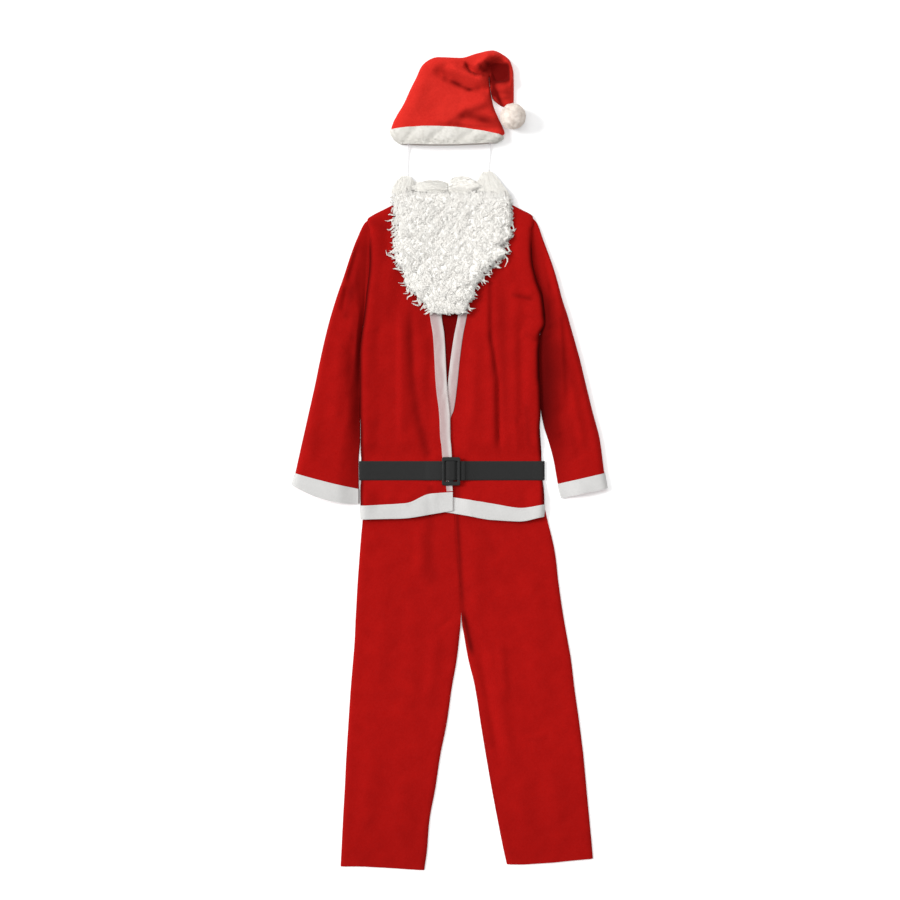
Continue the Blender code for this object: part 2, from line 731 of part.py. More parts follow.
def tube(name, outer, inner, colour, loop_in_path=False):
    """A closed wall between two grids whose rows are closed rings.

    With loop_in_path the rows join up end to end too, like a belt.
    """
    rows, around = outer.shape[:2]
    size = rows * around
    number = np.arange(size).reshape(rows, around)
    faces = []
    for r in range(rows if loop_in_path else rows - 1):
        below = (r + 1) % rows
        for c in range(around):
            after = (c + 1) % around
            corners = (number[r, c], number[r, after], number[below, after], number[below, c])
            faces += two_triangles(*corners)
            if inner is not None:
                faces += [(f[2] + size, f[1] + size, f[0] + size)
                          for f in two_triangles(*corners)]
    if inner is None:
        return add_object(name, outer.reshape(-1, 3), faces, colour)
    for ring, turn in ((number[0], 1), (number[-1], -1)):
        for c in range(around):
            here, after = ring[c], ring[(c + 1) % around]
            faces += two_triangles(here, here + size, after + size, after)[::turn]
            if turn < 0:
                faces[-2:] = [f[::-1] for f in faces[-2:]]
    points = np.concatenate([outer.reshape(-1, 3), inner.reshape(-1, 3)])
    return add_object(name, points, faces, colour)


def tube_grid(stations, height, wall):
    """The outer and inner rings of a flattened tube, one ring for each station.

    height(x, y, near_a, near_b, full) is the outside height above the base.
    The inner ring lies a wall's thickness inside, and stays open at the edges.
    """
    a_x, a_y, b_x, b_y, base, full, bow = np.array(stations).T[:, :, None]
    width = np.hypot(b_x - a_x, b_y - a_y)
    s = np.array(TUBE_TOP + (1.0,) + TUBE_BOTTOM + (0.0,))[None, :]
    on_top = np.arange(s.shape[1]) < len(TUBE_TOP)
    rings = []
    for inset in (0.0, wall):
        place = inset / width + s * (1.0 - 2.0 * inset / width)
        x = a_x + (b_x - a_x) * place
        y = a_y + (b_y - a_y) * place + 4.0 * bow * place * (1.0 - place)
        near = np.clip(place, 0.0, 1.0) * width
        rise = height(x, y, near, width - near, full)
        z = np.where(on_top, np.maximum(base + rise - inset, base + inset + HOLLOW), base + inset)
        rings.append(stack(x, y, z))
    return rings


# ------------------------------------------------------------------- the jacket
def under_jacket(y):
    """How high the jacket back lies: on the floor, the belt or the trousers."""
    along, height = np.array(BACK_LEVELS).T
    return np.interp(y, along, height)


def jacket_back():
    """The back, its neck and hem bands sewn to the side that faces down."""
    columns = np.linspace(0.0, 1.0, BACK_WIDTH_COLUMNS)
    x, y, _ = row_grid(BACK_ROWS, BACK_STEPS, columns, straight_bow=True)
    lower = stack(x, y, under_jacket(y))
    upper = stack(x, y, under_jacket(y) + FELT)
    slab("jacket_back", lower, upper, RED)
    drop = np.array((0.0, 0.0, 1.0))
    neck = lower[:2, slice(*TRIM_COLUMNS)]
    for name, block in (("neck_trim_back", neck), ("hem_trim_back", lower[-2:])):
        slab(name, block - drop * (SEAM + TRIM), block - drop * SEAM, WHITE)


def front_panel(name, rows, steps, trim_width, folds, underarm, lifted):
    """One front, with its centre band and hem band; lifted lies over the other front."""
    count = sum(steps) + 1
    rough_x, rough_y, _ = row_grid(rows, steps, (0.0, 1.0))
    width = np.abs(rough_x[:, 1] - rough_x[:, 0])
    band = 1.0 - smooth_line(BAND_Y, trim_width, rough_y[:, 1]) / width
    columns = np.concatenate([band[:, None] * np.array(SIDE_COLUMNS), np.ones((count, 1))], axis=1)
    x, y, u = row_grid(rows, steps, columns)
    from_side = u * width[:, None]
    from_centre = width[:, None] - from_side
    from_top = np.abs(y[0:1] - y)
    edge = quarter_round(from_side, FRONT_EDGE) * quarter_round(from_top, FRONT_TOP)
    ridge = SIDE_RIDGE * climb(from_side, RIDGE_SLOPE) * climb(y, RIDGE_TOP_SLOPE)
    ridge *= 1.0 - HEM_PRESS * climb(y, HEM_SLOPE)
    rise = PUFF * climb(from_centre, PUFF_SLOPE) + ridge + fold_height(x, y, folds)
    beard = BEARD_PRESS * climb(y, BEARD_PRESS_SLOPE) * climb(from_side, BEARD_SIDE_SLOPE)
    rise = np.maximum(rise * edge * belt_press(y) * (1.0 - beard), 0.0)
    arm = ARMHOLE_LIFT * climb(y - underarm, ARMHOLE_SLOPE) * climb(from_top, ARMHOLE_TOP_SLOPE)
    rise = np.maximum(rise, arm * climb(from_side, ARMHOLE_SIDE_SLOPE))
    if lifted:
        rise += OVERLAP_LIFT * climb(x, OVERLAP_SLOPE) * climb(y, OVERLAP_TOP_SLOPE)
    rise += LAY * climb(y, NECK_SLOPE)
    lower = stack(x, y, under_jacket(y) + FELT + LAY + rise)
    upper = raised(lower, FELT)
    slab(name, lower, upper, RED)
    side = name.rsplit("_", 1)[1]
    low, high = raised(upper, SEAM), raised(upper, SEAM + TRIM)
    slab("front_trim_" + side, above_hem(low), above_hem(high), WHITE)
    slab("hem_trim_" + side, low[-2:], high[-2:], WHITE)


def above_hem(grid):
    """A front's two last columns down to just above its hem band."""
    part = grid[:-1, -2:].copy()
    part[-1] += (part[-2] - part[-1]) * BAND_END
    return part


def sleeve_height(folds):
    """A sleeve's outside height: low along the body, full in the middle."""
    def height(x, y, near_a, near_b, full):
        rise = SLEEVE_FULLNESS * climb(near_a, SLEEVE_SLOPE) + fold_height(x, y, folds)
        rise = rise * quarter_round(near_b, SLEEVE_EDGE) * full
        return EDGE + np.maximum(rise, 0.0)
    return height


def sleeve(side, stations, folds):
    """A one-piece sleeve with its band round the cuff."""
    outer, inner = tube_grid(stations, sleeve_height(folds), FELT)
    tube("sleeve_" + side, outer, inner, RED)
    top = np.array(outer[-2:])
    centre = top.mean(axis=1, keepdims=True)
    width = np.linalg.norm(top[:, 0] - top[:, len(TUBE_TOP) - 1], axis=1)[:, None, None]
    across = (top[:, len(TUBE_TOP) - 1] - top[:, 0])[:, None, :] / width
    bands = []
    for gap in (CUFF_GAP, CUFF_GAP + TRIM):
        sideways = ((top - centre) * across).sum(axis=2, keepdims=True) * across
        grown = top + sideways * (2.0 * gap / width)
        on_top = np.arange(top.shape[1]) < len(TUBE_TOP)
        grown[..., 2] += np.where(on_top, gap, -gap)
        bands.append(grown)
    tube("cuff_trim_" + side, bands[1], bands[0], WHITE)


# ----------------------------------------------------------------- the trousers
def trouser_leg(side, rows, folds):
    """A front and a back of one side, joined along the side and the inside leg."""
    steps = (1,) * (len(rows) - 1)
    x, y, u = row_grid(rows, steps, TROUSER_COLUMNS)
    width = np.hypot(x[:, -1] - x[:, 0], y[:, -1] - y[:, 0])[:, None]
    outside = quarter_round(u * width, LEG_EDGE)
    inside = quarter_round((1.0 - u) * width, LEG_EDGE)
    inside = inside + (1.0 - inside) * climb(y, CROTCH_SLOPE)
    body = np.maximum(TROUSER_PUFF + fold_height(x, y, folds), 0.0)
    below = FELT + SEAM + body * outside * inside * climb(y, LEG_SLOPE)
    wall = FELT + EDGE_WALL * climb(y, LEG_SLOPE) * (1.0 - outside)
    slab("trouser_front_" + side, stack(x, y, below), stack(x, y, below + wall), RED)
    x, y, _ = row_grid(rows, steps, BACK_COLUMNS)
    slab("trouser_back_" + side, stack(x, y, 0.0), stack(x, y, FELT), RED)


def waistband():
    """The elastic casing at the top of the trousers, under the jacket."""
    def height(x, y, near_a, near_b, full):
        return np.full_like(x, EDGE - WAIST_PRESS)
    outer, inner = tube_grid(WAISTBAND_STATIONS, height, FELT)
    tube("waistband", outer, inner, RED)


# ------------------------------------------------------------- belt and buckle
def belt():
    """One loop of webbing: flat under the jacket, over it, and over the buckle's bar."""
    half = BUCKLE_SIZE[0] / 2 + STRAP_REACH
    over = STRAP_MIDDLE
    window = BUCKLE_WINDOW[0] / 2 - STRAP_CLEAR
    along, up = WINDOW_RISE
    bar = over + WEBBING + SEAM + BUCKLE_BAR[1] + BAR_CLEAR
    rises = ((-half, over), (-window, over), (along - window, over + up), (-BAR_SPAN, bar),
             (0.0, bar), (BAR_SPAN, bar), (window - along, over + up), (window, over),
             (half, over))
    over_buckle = tuple((BUCKLE_X + x, z) for x, z in rises)
    path = np.array(BELT_RIGHT + over_buckle + BELT_LEFT + BELT_UNDER)
    ahead = np.roll(path, -1, axis=0) - path
    behind = path - np.roll(path, 1, axis=0)
    ahead /= np.linalg.norm(ahead, axis=1, keepdims=True)
    behind /= np.linalg.norm(behind, axis=1, keepdims=True)
    along = ahead + behind
    along /= np.linalg.norm(along, axis=1, keepdims=True)
    out = np.stack([-along[:, 1], along[:, 0]], axis=1)
    rings = []
    for side, face in ((-1, -1), (1, -1), (1, 1), (-1, 1)):
        xz = path + out * face * WEBBING / 2
        xz[:, 1] = np.maximum(xz[:, 1], 0.0)
        y = np.full(len(path), BELT_Y + side * BELT_WIDTH / 2)
        rings.append(np.stack([xz[:, 0], y, xz[:, 1]], axis=1))
    tube("belt", np.stack(rings, axis=1), None, BLACK, loop_in_path=True)


def rounded_box(size, centre, radius):
    """A box mesh in bmesh with its upright edges rounded."""
    shape = bmesh.new()
    bmesh.ops.create_cube(shape, size=1.0)
    bmesh.ops.scale(shape, vec=[s * MM for s in size], verts=shape.verts)
    upright = [e for e in shape.edges
               if abs(e.verts[0].co.z - e.verts[1].co.z) > 0.5 * size[2] * MM]
    bmesh.ops.bevel(shape, geom=upright, offset=radius * MM, segments=3, affect="EDGES")
    bmesh.ops.translate(shape, vec=[c * MM for c in centre], verts=shape.verts)
    return shape


def buckle():
    """A slide buckle: a frame with two slots and a bar between them, cut from one block."""
    base = STRAP_MIDDLE + WEBBING / 2 + SEAM
    middle = base + BUCKLE_DEPTH / 2
    parts = []
    bar_width, bar_depth = BUCKLE_BAR
    plan = (
        ("buckle", (*BUCKLE_SIZE, BUCKLE_DEPTH), middle, BUCKLE_CORNER),
        ("window", (*BUCKLE_WINDOW, 3 * BUCKLE_DEPTH), middle, WINDOW_CORNER),
        ("bar", (bar_width, BUCKLE_WINDOW[1] + BAR_OVERLAP, bar_depth), base + bar_depth / 2,
         BAR_CORNER),
    )
    for name, size, height, radius in plan:
        shape = rounded_box(size, (BUCKLE_X, BUCKLE_Y, height), radius)
        mesh = bpy.data.meshes.new(name)
        shape.to_mesh(mesh)
        shape.free()
        made = bpy.data.objects.new(name, mesh)
        bpy.context.scene.collection.objects.link(made)
        parts.append(made)
    frame, window, bar = parts
    frame.data.materials.append(finish(BLACK, 0.35))
    for tool, operation in ((window, "DIFFERENCE"), (bar, "UNION")):
        tool.hide_render = True
        tool.display_type = "WIRE"
        change = frame.modifiers.new(tool.name, "BOOLEAN")
        change.operation = operation
        change.object = tool


# ---------------------------------------------------------------------- the hat
def hat_height(x, y, near_a, near_b, full):
    """The hat's outside height: two rounded edges with folds between them."""
    rise = HAT_FULLNESS * quarter_round(near_a, HAT_SIDE[0])
    rise = rise * quarter_round(near_b + HAT_SEAM[0], HAT_SIDE[1])
    rise = (rise + fold_height(x, y, HAT_FOLDS)) * quarter_round(near_a, HAT_EDGE[0])
    rise *= quarter_round(near_b + HAT_SEAM[1], HAT_EDGE[1])
    return EDGE + np.maximum(rise * full, 0.0)


def hat():
    """The cone with its hanging tail, and the brim round its mouth."""
    outer, inner = tube_grid(HAT_STATIONS, hat_height, FELT)
    tube("hat_cone", outer, inner, HAT_RED)

    def brim_height(x, y, near_a, near_b, full):
        cone = hat_height(x, y, near_a - BRIM_OUT, near_b - BRIM_OUT, 1.0)
        return MOUTH_LIFT + cone + BRIM_LIFT + PLUSH
    outer, inner = tube_grid(BRIM_STATIONS, brim_height, PLUSH)
    tube("hat_brim", outer, inner, WHITE)


def pompom():
    """A ball of tufts: each tuft is drawn out of a face of the round core."""
    shape = bmesh.new()
    bmesh.ops.create_icosphere(shape, subdivisions=2, radius=POMPOM_CORE * MM)
    tail = np.array(TAIL_WAY) / np.linalg.norm(TAIL_WAY)
    faces = [f for f in shape.faces if np.dot(f.normal, tail) < TAIL_CONE]
    drawn = bmesh.ops.extrude_discrete_faces(shape, faces=faces)["faces"]
    for number, face in enumerate(drawn):
        out = face.normal.copy()
        middle = face.calc_center_median()
        shorter = TUFT_SHORTER * (number % TUFT_LENGTHS) / (TUFT_LENGTHS - 1)
        reach = (POMPOM_RADIUS - shorter) * MM
        tip = out * reach
        for vert in face.verts:
            vert.co = tip + (vert.co - middle) * TUFT_SPREAD
            vert.co *= reach / vert.co.length
    bmesh.ops.translate(shape, vec=[c * MM for c in POMPOM_CENTRE], verts=shape.verts)
    bmesh.ops.triangulate(shape, faces=shape.faces)
    mesh = bpy.data.meshes.new("pompom")
    shape.to_mesh(mesh)
    shape.free()
    mesh.shade_smooth()
    mesh.materials.append(finish(FUR, 0.95))
    bpy.context.scene.collection.objects.link(bpy.data.objects.new("pompom", mesh))


# -------------------------------------------------------------------- the beard
def under_beard(y):
    """How high the beard lies: on the jacket, and down to the floor at its tabs."""
    return TAB_LIFT + (BEARD_LIFT - TAB_LIFT) * climb(y, BEARD_LIFT_SLOPE)


def beard_backing():
    """The cloth that carries the hair."""
    x, y, _ = row_grid(BACKING_ROWS, BACKING_STEPS, np.linspace(0.0, 1.0, BACKING_COLUMNS))
    lower = stack(x, y, under_beard(y))
    slab("beard_backing", lower, stack(x, y, under_beard(y) + BEARD_BACKING), FUR)


def beard_hair():
    """The curly pile as one relief of locks with a tufted outline."""
    steps = (2,) * (len(HAIR_ROWS) - 1)
    x, y, u = row_grid(HAIR_ROWS, steps, np.linspace(0.0, 1.0, HAIR_COLUMNS))
    width = (x[:, -1] - x[:, 0])[:, None]
    turn, first = EDGE_TUFT_TURN
    swing = np.sin(turn * np.arange(len(x)) + first)[:, None]
    only_edges = np.clip(np.abs(2.0 * u - 1.0) * 4.0 - 3.0, 0.0, 1.0)
    x = x + EDGE_TUFT * swing * np.where(u < 0.5, 1.0, -1.0) * only_edges
    points = np.abs(np.sin(POINT_TUFT_TURN * np.arange(HAIR_COLUMNS)))
    y = y - POINT_TUFT * climb(y, POINT_SLOPE) * points
    y[0] = HAIR_ROWS[0].a_y
    least, growth = POINT_ROUND
    from_edge = np.minimum(np.minimum(u, 1.0 - u) * width, least + (y - y.min()) * growth)
    body = quarter_round(from_edge + least, HAIR_ROUND)
    lumps = sum(share * unevenness(x, y, size, seed) for size, seed, share in LUMPS)
    depth = HAIR_THIN + HAIR_DEPTH * body * (1.0 + lumps)
    base = under_beard(y) + BEARD_BACKING + SEAM
    slab("beard_hair", stack(x, y, base), stack(x, y, base + depth), FUR)


def pad(name, rows, steps, columns, depth):
    """A rounded pad on the beard's backing, full in the middle of each row."""
    x, y, u = row_grid(rows, steps, np.linspace(0.0, 1.0, columns))
    v = np.linspace(0.0, 1.0, len(x))[:, None]
    body = np.sin(np.pi * np.clip(u, PAD_EDGE, 1.0 - PAD_EDGE)) ** PAD_ROUND
    depth = PAD_THIN + depth * body * (1.0 - PAD_TAPER * v**2)
    base = under_beard(y) + BEARD_BACKING + SEAM
    slab(name, stack(x, y, base), stack(x, y, base + depth), FUR)


def beard():
    """Backing, hair, moustache lobes and ear tabs."""
    beard_backing()
    beard_hair()
    for side, lobe, tab in (("right", MOUSTACHE_RIGHT_ROWS, TAB_RIGHT_ROWS),
                            ("left", MOUSTACHE_LEFT_ROWS, TAB_LEFT_ROWS)):
        pad("moustache_" + side, lobe, MOUSTACHE_STEPS, MOUSTACHE_COLUMNS, MOUSTACHE_DEPTH)
        pad("ear_tab_" + side, tab, TAB_STEPS, TAB_COLUMNS, TAB_DEPTH)


def elastic():
    """The elastic from one ear tab, up into the hat and back to the other tab."""
    route = np.array(ELASTIC_ROUTE)
    knots = np.concatenate([[0.0], np.cumsum(np.linalg.norm(np.diff(route, axis=0), axis=1))])
    at = np.linspace(0.0, knots[-1], ELASTIC_POINTS)
    line = np.stack([smooth_line(knots, route[:, k], at) for k in range(3)], axis=1)
    curve = bpy.data.curves.new("beard_elastic", "CURVE")
    curve.dimensions = "3D"
    curve.bevel_depth = ELASTIC_DIAMETER / 2 * MM
    curve.bevel_resolution = 2
    curve.use_fill_caps = True
    spline = curve.splines.new("POLY")
    spline.points.add(len(line) - 1)
    spline.points.foreach_set("co", np.column_stack([line * MM, np.ones(len(line))]).ravel())
    curve.materials.append(finish(WHITE, 0.8))
    bpy.context.scene.collection.objects.link(bpy.data.objects.new("beard_elastic", curve))


def main():
    """Clear the scene and make the suit, hat to trousers."""
    for old in list(bpy.data.objects):
        bpy.data.objects.remove(old, do_unlink=True)
    hat()
    pompom()
    beard()
    elastic()
    jacket_back()
    front_panel("jacket_front_right", FRONT_RIGHT_ROWS, FRONT_RIGHT_STEPS,
                BAND_RIGHT, FRONT_RIGHT_FOLDS, UNDERARM_RIGHT, True)
    front_panel("jacket_front_left", FRONT_LEFT_ROWS, FRONT_LEFT_STEPS,
                BAND_LEFT, FRONT_LEFT_FOLDS, UNDERARM_LEFT, False)
    sleeve("right", SLEEVE_RIGHT_STATIONS, SLEEVE_RIGHT_FOLDS)
    sleeve("left", SLEEVE_LEFT_STATIONS, SLEEVE_LEFT_FOLDS)
    belt()
    buckle()
    waistband()
    trouser_leg("right", TROUSER_RIGHT_ROWS, TROUSER_RIGHT_FOLDS)
    trouser_leg("left", TROUSER_LEFT_ROWS, TROUSER_LEFT_FOLDS)


main()
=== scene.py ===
"""Santa suit laid out flat: hat, curly beard, belted jacket and trousers.

Tables are in millimetres and meshes in metres.  +X runs to the wearer's left,
+Y towards the hat and +Z up from the surface that the suit lies on.
"""

from __future__ import annotations

import logging
import math
from dataclasses import dataclass
from enum import Enum
from typing import Callable, NamedTuple, Sequence

import bpy
import numpy as np
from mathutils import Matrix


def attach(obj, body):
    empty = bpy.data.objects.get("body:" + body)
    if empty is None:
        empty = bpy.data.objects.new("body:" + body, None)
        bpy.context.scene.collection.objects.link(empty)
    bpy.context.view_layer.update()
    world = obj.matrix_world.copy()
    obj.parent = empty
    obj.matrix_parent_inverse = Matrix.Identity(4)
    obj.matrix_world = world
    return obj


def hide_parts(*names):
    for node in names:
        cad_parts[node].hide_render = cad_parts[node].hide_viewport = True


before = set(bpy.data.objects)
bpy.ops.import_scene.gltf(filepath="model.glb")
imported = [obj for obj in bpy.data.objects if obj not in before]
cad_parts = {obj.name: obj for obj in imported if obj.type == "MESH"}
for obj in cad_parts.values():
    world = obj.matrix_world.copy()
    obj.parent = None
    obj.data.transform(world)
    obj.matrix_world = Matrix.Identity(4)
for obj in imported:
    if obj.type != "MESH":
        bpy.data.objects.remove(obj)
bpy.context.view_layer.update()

MM = 0.001
LOG = logging.getLogger("santa_suit")

Grid = np.ndarray
Piece = bpy.types.Object
Height = Callable[..., np.ndarray]


# ============================================================ cloth thicknesses
# Walls, the gap at a seam, the least gap between layers, and the thickness of a pressed edge.
FELT = 1.5
TRIM = 1.2
PLUSH = 3.0
SEAM = 0.3
LAY = 0.5
EDGE = 2 * FELT + LAY
WEBBING = 1.8


# ================================================================== small maths
def ease(t: Grid) -> Grid:
    """Rises smoothly from 0 to 1 as t does: 3t^2 - 2t^3."""
    t = np.clip(t, 0.0, 1.0)
    return t * t * (3.0 - 2.0 * t)


def ramp(value: Grid, start: float, stop: float) -> Grid:
    """0 before start and 1 past stop, with a smooth rise between; stop may be the lower one."""
    return ease((value - start) / (stop - start))


def quarter_round(distance: Grid, radius: float) -> Grid:
    """The height of a quarter circle over its own radius, 0 at the edge."""
    t = np.clip(distance / radius, 0.0, 1.0)
    return np.sqrt(np.maximum(0.0, 1.0 - (1.0 - t) ** 2))


def smooth_line(knots: Sequence[float], values: Grid, at: Grid) -> Grid:
    """A cubic curve through (knots, values) that never swings past them.

    Each knot's slope is the harmonic mean of the slopes on its two sides.

    Args:
        knots: Places along the line, rising.
        values: One value for each knot.
        at: Where to read the curve.

    Returns:
        The curve's value at each place.
    """
    knots = np.asarray(knots, float)
    values = np.asarray(values, float)
    step = np.diff(knots)
    slope = np.diff(values) / step
    tangent = np.zeros(len(knots))
    before, after = slope[:-1], slope[1:]
    same = before * after > 0
    tangent[1:-1] = np.where(same, 2.0 * before * after / np.where(same, before + after, 1.0), 0.0)
    tangent[0], tangent[-1] = slope[0], slope[-1]
    i = np.clip(np.searchsorted(knots, at, side="right") - 1, 0, len(step) - 1)
    t = (at - knots[i]) / step[i]
    rise = 3 * t**2 - 2 * t**3
    return (values[i] * (1 - rise) + values[i + 1] * rise
            + step[i] * (t**3 - 2 * t**2 + t) * tangent[i]
            + step[i] * (t**3 - t**2) * tangent[i + 1])


def unevenness(x: Grid, y: Grid, size: float, seed: float = 0.0) -> Grid:
    """Smooth lumps between about -1 and 1, size across: crossed, bent sine waves."""
    a, b = x / size, y / size
    return (np.sin(5.1 * a + 2.3 * np.sin(3.1 * b + seed) + seed)
            + np.sin(4.3 * b + 2.1 * np.sin(3.7 * a - seed) + 1.7 * seed)) * 0.5


def crowded(count: int, share: float) -> Grid:
    """Places from 0 to 1, even but for a share of them that crowds towards both ends."""
    even = np.linspace(0.0, 1.0, count)
    return share * (0.5 - 0.5 * np.cos(math.pi * even)) + (1.0 - share) * even


def distances(line: Grid) -> Grid:
    """How far along a line of points each point lies, 0 at the first."""
    return np.concatenate([[0.0], np.cumsum(np.linalg.norm(np.diff(line, axis=0), axis=1))])


def along_line(line: Grid, knots: Grid, at: Grid) -> Grid:
    """The points at distances along a line, straight from each of its points to the next."""
    return np.stack([np.interp(at, knots, line[:, k]) for k in range(line.shape[1])], axis=1)


def spread(knots: Grid, steps: Sequence[int]) -> Grid:
    """Places from the first knot to the last: so many even steps from each to the next."""
    runs = [np.linspace(a, b, n, endpoint=False) for a, b, n in zip(knots, knots[1:], steps)]
    return np.concatenate([*runs, knots[-1:]])


def unit(vectors: Grid) -> Grid:
    """Each vector at length 1."""
    return vectors / np.maximum(np.linalg.norm(vectors, axis=-1, keepdims=True), 1e-12)


def stack(x: Grid, y: Grid, z: Grid) -> Grid:
    """x, y and z grids as one grid of points."""
    return np.stack(np.broadcast_arrays(x, y, z), axis=-1)


class Row(NamedTuple):
    """A line across a piece, edge a to edge b; bow_1 to bow_3 lift it at its quarters."""

    a_x: float
    a_y: float
    b_x: float
    b_y: float
    bow_1: float = 0.0
    bow_2: float = 0.0
    bow_3: float = 0.0


class Station(NamedTuple):
    """A line across a flattened tube, its height off the surface and its fullness."""

    a_x: float
    a_y: float
    b_x: float
    b_y: float
    base: float = 0.0
    full: float = 1.0
    bow: float = 0.0


class Fold(NamedTuple):
    """A ridge (height above 0) or a crease (below 0) from one point to another."""

    x0: float
    y0: float
    x1: float
    y1: float
    width: float
    height: float
    lean: float = 0.0


class Shadow(NamedTuple):
    """The painted shadow on the cloth beside the body at one y: its share up to start, gone past reach.
    """

    y: float
    share: float
    start: float
    reach: float


def entries(kind: type, *lines: Sequence[float]) -> tuple:
    """A table of rows, stations, folds or shadows from its lines of numbers."""
    return tuple(kind(*line) for line in lines)


def fold_height(x: Grid, y: Grid, folds: Sequence[Fold]) -> Grid:
    """The folds' heights at x, y: a bell curve across, tapering to both ends.

    Args:
        x: Places to read, in millimetres.
        y: Places to read, in millimetres.
        folds: The ridges and creases; lean makes the right-hand side steeper.

    Returns:
        The summed height in millimetres.
    """
    total = np.zeros(np.broadcast(x, y).shape)
    for fold in folds:
        along = np.array((fold.x1 - fold.x0, fold.y1 - fold.y0))
        length = np.hypot(*along)
        along = along / length
        dx, dy = x - fold.x0, y - fold.y0
        run = (dx * along[0] + dy * along[1]) / length
        off = dx * along[1] - dy * along[0]
        width = fold.width * np.where(off > 0, 1.0 - fold.lean, 1.0 + fold.lean)
        taper = ease(run * 4.0) * ease((1.0 - run) * 4.0)
        total += fold.height * taper * np.exp(-(off / width) ** 2)
    return total


# ================================================================== mesh making
def placed(name: str, data: bpy.types.ID) -> Piece:
    """An object of this data, linked to the scene."""
    made = bpy.data.objects.new(name, data)
    bpy.context.scene.collection.objects.link(made)
    return made


def mesh_object(name: str, points: Grid, faces: list[Grid], uv: Grid | None = None,
                sharp: float = 50.0) -> Piece:
    """A mesh object at the origin, its faces turned outwards.

    Args:
        name: The piece's name.
        points: Points in millimetres, any grid shape ending in 3.
        faces: Arrays of vertex numbers, three or four a row.
        uv: A place on the cloth for each point, in metres.
        sharp: Edges that turn more than this, in degrees, are shaded sharp.

    Returns:
        The linked object.
    """
    points = points.reshape(-1, 3)
    volume = 0.0
    for block in faces:
        for k in range(1, block.shape[1] - 1):
            a, b, c = points[block[:, 0]], points[block[:, k]], points[block[:, k + 1]]
            volume += np.einsum("ij,ij->", a, np.cross(b, c))
    if volume < 0:
        faces = [block[:, ::-1] for block in faces]
    loops = np.concatenate([block.ravel() for block in faces])
    sizes = np.concatenate([np.full(len(block), block.shape[1]) for block in faces])
    mesh = bpy.data.meshes.new(name)
    mesh.vertices.add(len(points))
    mesh.vertices.foreach_set("co", (points * MM).astype(np.float32).ravel())
    mesh.loops.add(len(loops))
    mesh.loops.foreach_set("vertex_index", loops.astype(np.int32))
    mesh.polygons.add(len(sizes))
    starts = np.concatenate([[0], np.cumsum(sizes)[:-1]])
    mesh.polygons.foreach_set("loop_start", starts.astype(np.int32))
    if uv is not None:
        layer = mesh.uv_layers.new(name="cloth")
        layer.data.foreach_set("uv", uv.reshape(-1, 2)[loops].astype(np.float32).ravel())
    mesh.update(calc_edges=True)
    mesh.validate()
    mesh.shade_smooth()
    mesh.set_sharp_from_angle(angle=math.radians(sharp))
    return placed(name, mesh)


def numbers(rows: int, columns: int, first: int = 0) -> Grid:
    """The numbers of a grid's points, row by row."""
    return first + np.arange(rows * columns).reshape(rows, columns)


def sheet_faces(rows: int, columns: int, first: int = 0) -> Grid:
    """The four-cornered faces of an open grid whose points start at number first."""
    number = numbers(rows, columns, first)
    return np.stack([number[:-1, :-1], number[:-1, 1:], number[1:, 1:], number[1:, :-1]],
                    axis=-1).reshape(-1, 4)


def wall(name: str, one: Grid, other: Grid, faces: list[Grid], uv: Grid | None) -> Piece:
    """Two like grids of points as one mesh, which share their cloth coordinates."""
    points = np.concatenate([one.reshape(-1, 3), other.reshape(-1, 3)])
    both = None if uv is None else np.concatenate([uv.reshape(-1, 2)] * 2)
    return mesh_object(name, points, faces, both)


def shell(name: str, lower: Grid, upper: Grid, mapped: bool = True) -> Piece:
    """A closed wall: the lower grid, the upper grid and a rim that joins them.

    Where it is mapped its cloth coordinates are its places seen from above.
    """
    rows, columns = lower.shape[:2]
    size = rows * columns
    number = numbers(rows, columns)
    rim = np.concatenate([number[0, :-1], number[:-1, -1], number[-1, :0:-1], number[:0:-1, 0]])
    after = np.roll(rim, -1)
    faces = [sheet_faces(rows, columns), sheet_faces(rows, columns, size)[:, ::-1],
             np.stack([rim, rim + size, after + size, after], axis=-1)]
    return wall(name, lower, upper, faces, upper[..., :2] * MM if mapped else None)


def paint_shading(piece: Piece, share: Grid) -> None:
    """Keeps a share, 0 to 1, at each of a wall's points, by which its felt turns to painted shade in
    creases and beside the body, or to a painted highlight on the front bands.
    """
    layer = piece.data.attributes.new("painted_shading", "FLOAT", "POINT")
    both = np.concatenate([share.ravel()] * 2)
    layer.data.foreach_set("value", np.clip(both, 0.0, 1.0).astype(np.float32))


def ring_faces(rows: int, around: int, first: int = 0, closed: bool = False) -> Grid:
    """The faces of a grid whose rows are rings; closed joins the last row to the first."""
    number = numbers(rows, around, first)
    below = np.roll(number, -1, axis=0)
    quads = np.stack([number, np.roll(number, -1, axis=1), np.roll(below, -1, axis=1), below], axis=-1)
    return (quads if closed else quads[:-1]).reshape(-1, 4)


def rod_faces(rows: int, around: int, first: int = 0) -> list[Grid]:
    """The faces of a solid rod: its rings and the two ends."""
    ends = numbers(rows, around, first)[[0, -1]]
    return [ring_faces(rows, around, first), ends[:1, ::-1], ends[1:]]


def tube_shell(name: str, outer: Grid, inner: Grid, uv: Grid) -> Piece:
    """An open-ended tube with a wall: two grids of rings and the two ends' edges."""
    rows, around = outer.shape[:2]
    size = rows * around
    first, last = np.arange(around), np.arange(size - around, size)
    ends = [np.stack([np.roll(first, -1), np.roll(first, -1) + size, first + size, first], axis=-1),
            np.stack([last, last + size, np.roll(last, -1) + size, np.roll(last, -1)], axis=-1)]
    faces = [ring_faces(rows, around), ring_faces(rows, around, size)[:, ::-1], *ends]
    return wall(name, outer, inner, faces, uv)


def normals_of(grid: Grid) -> Grid:
    """The upward normals of a grid, from the cross product of its two directions."""
    normal = np.cross(np.gradient(grid, axis=1), np.gradient(grid, axis=0))
    return unit(normal * np.where(normal[..., 2:3].sum() < 0, -1.0, 1.0))


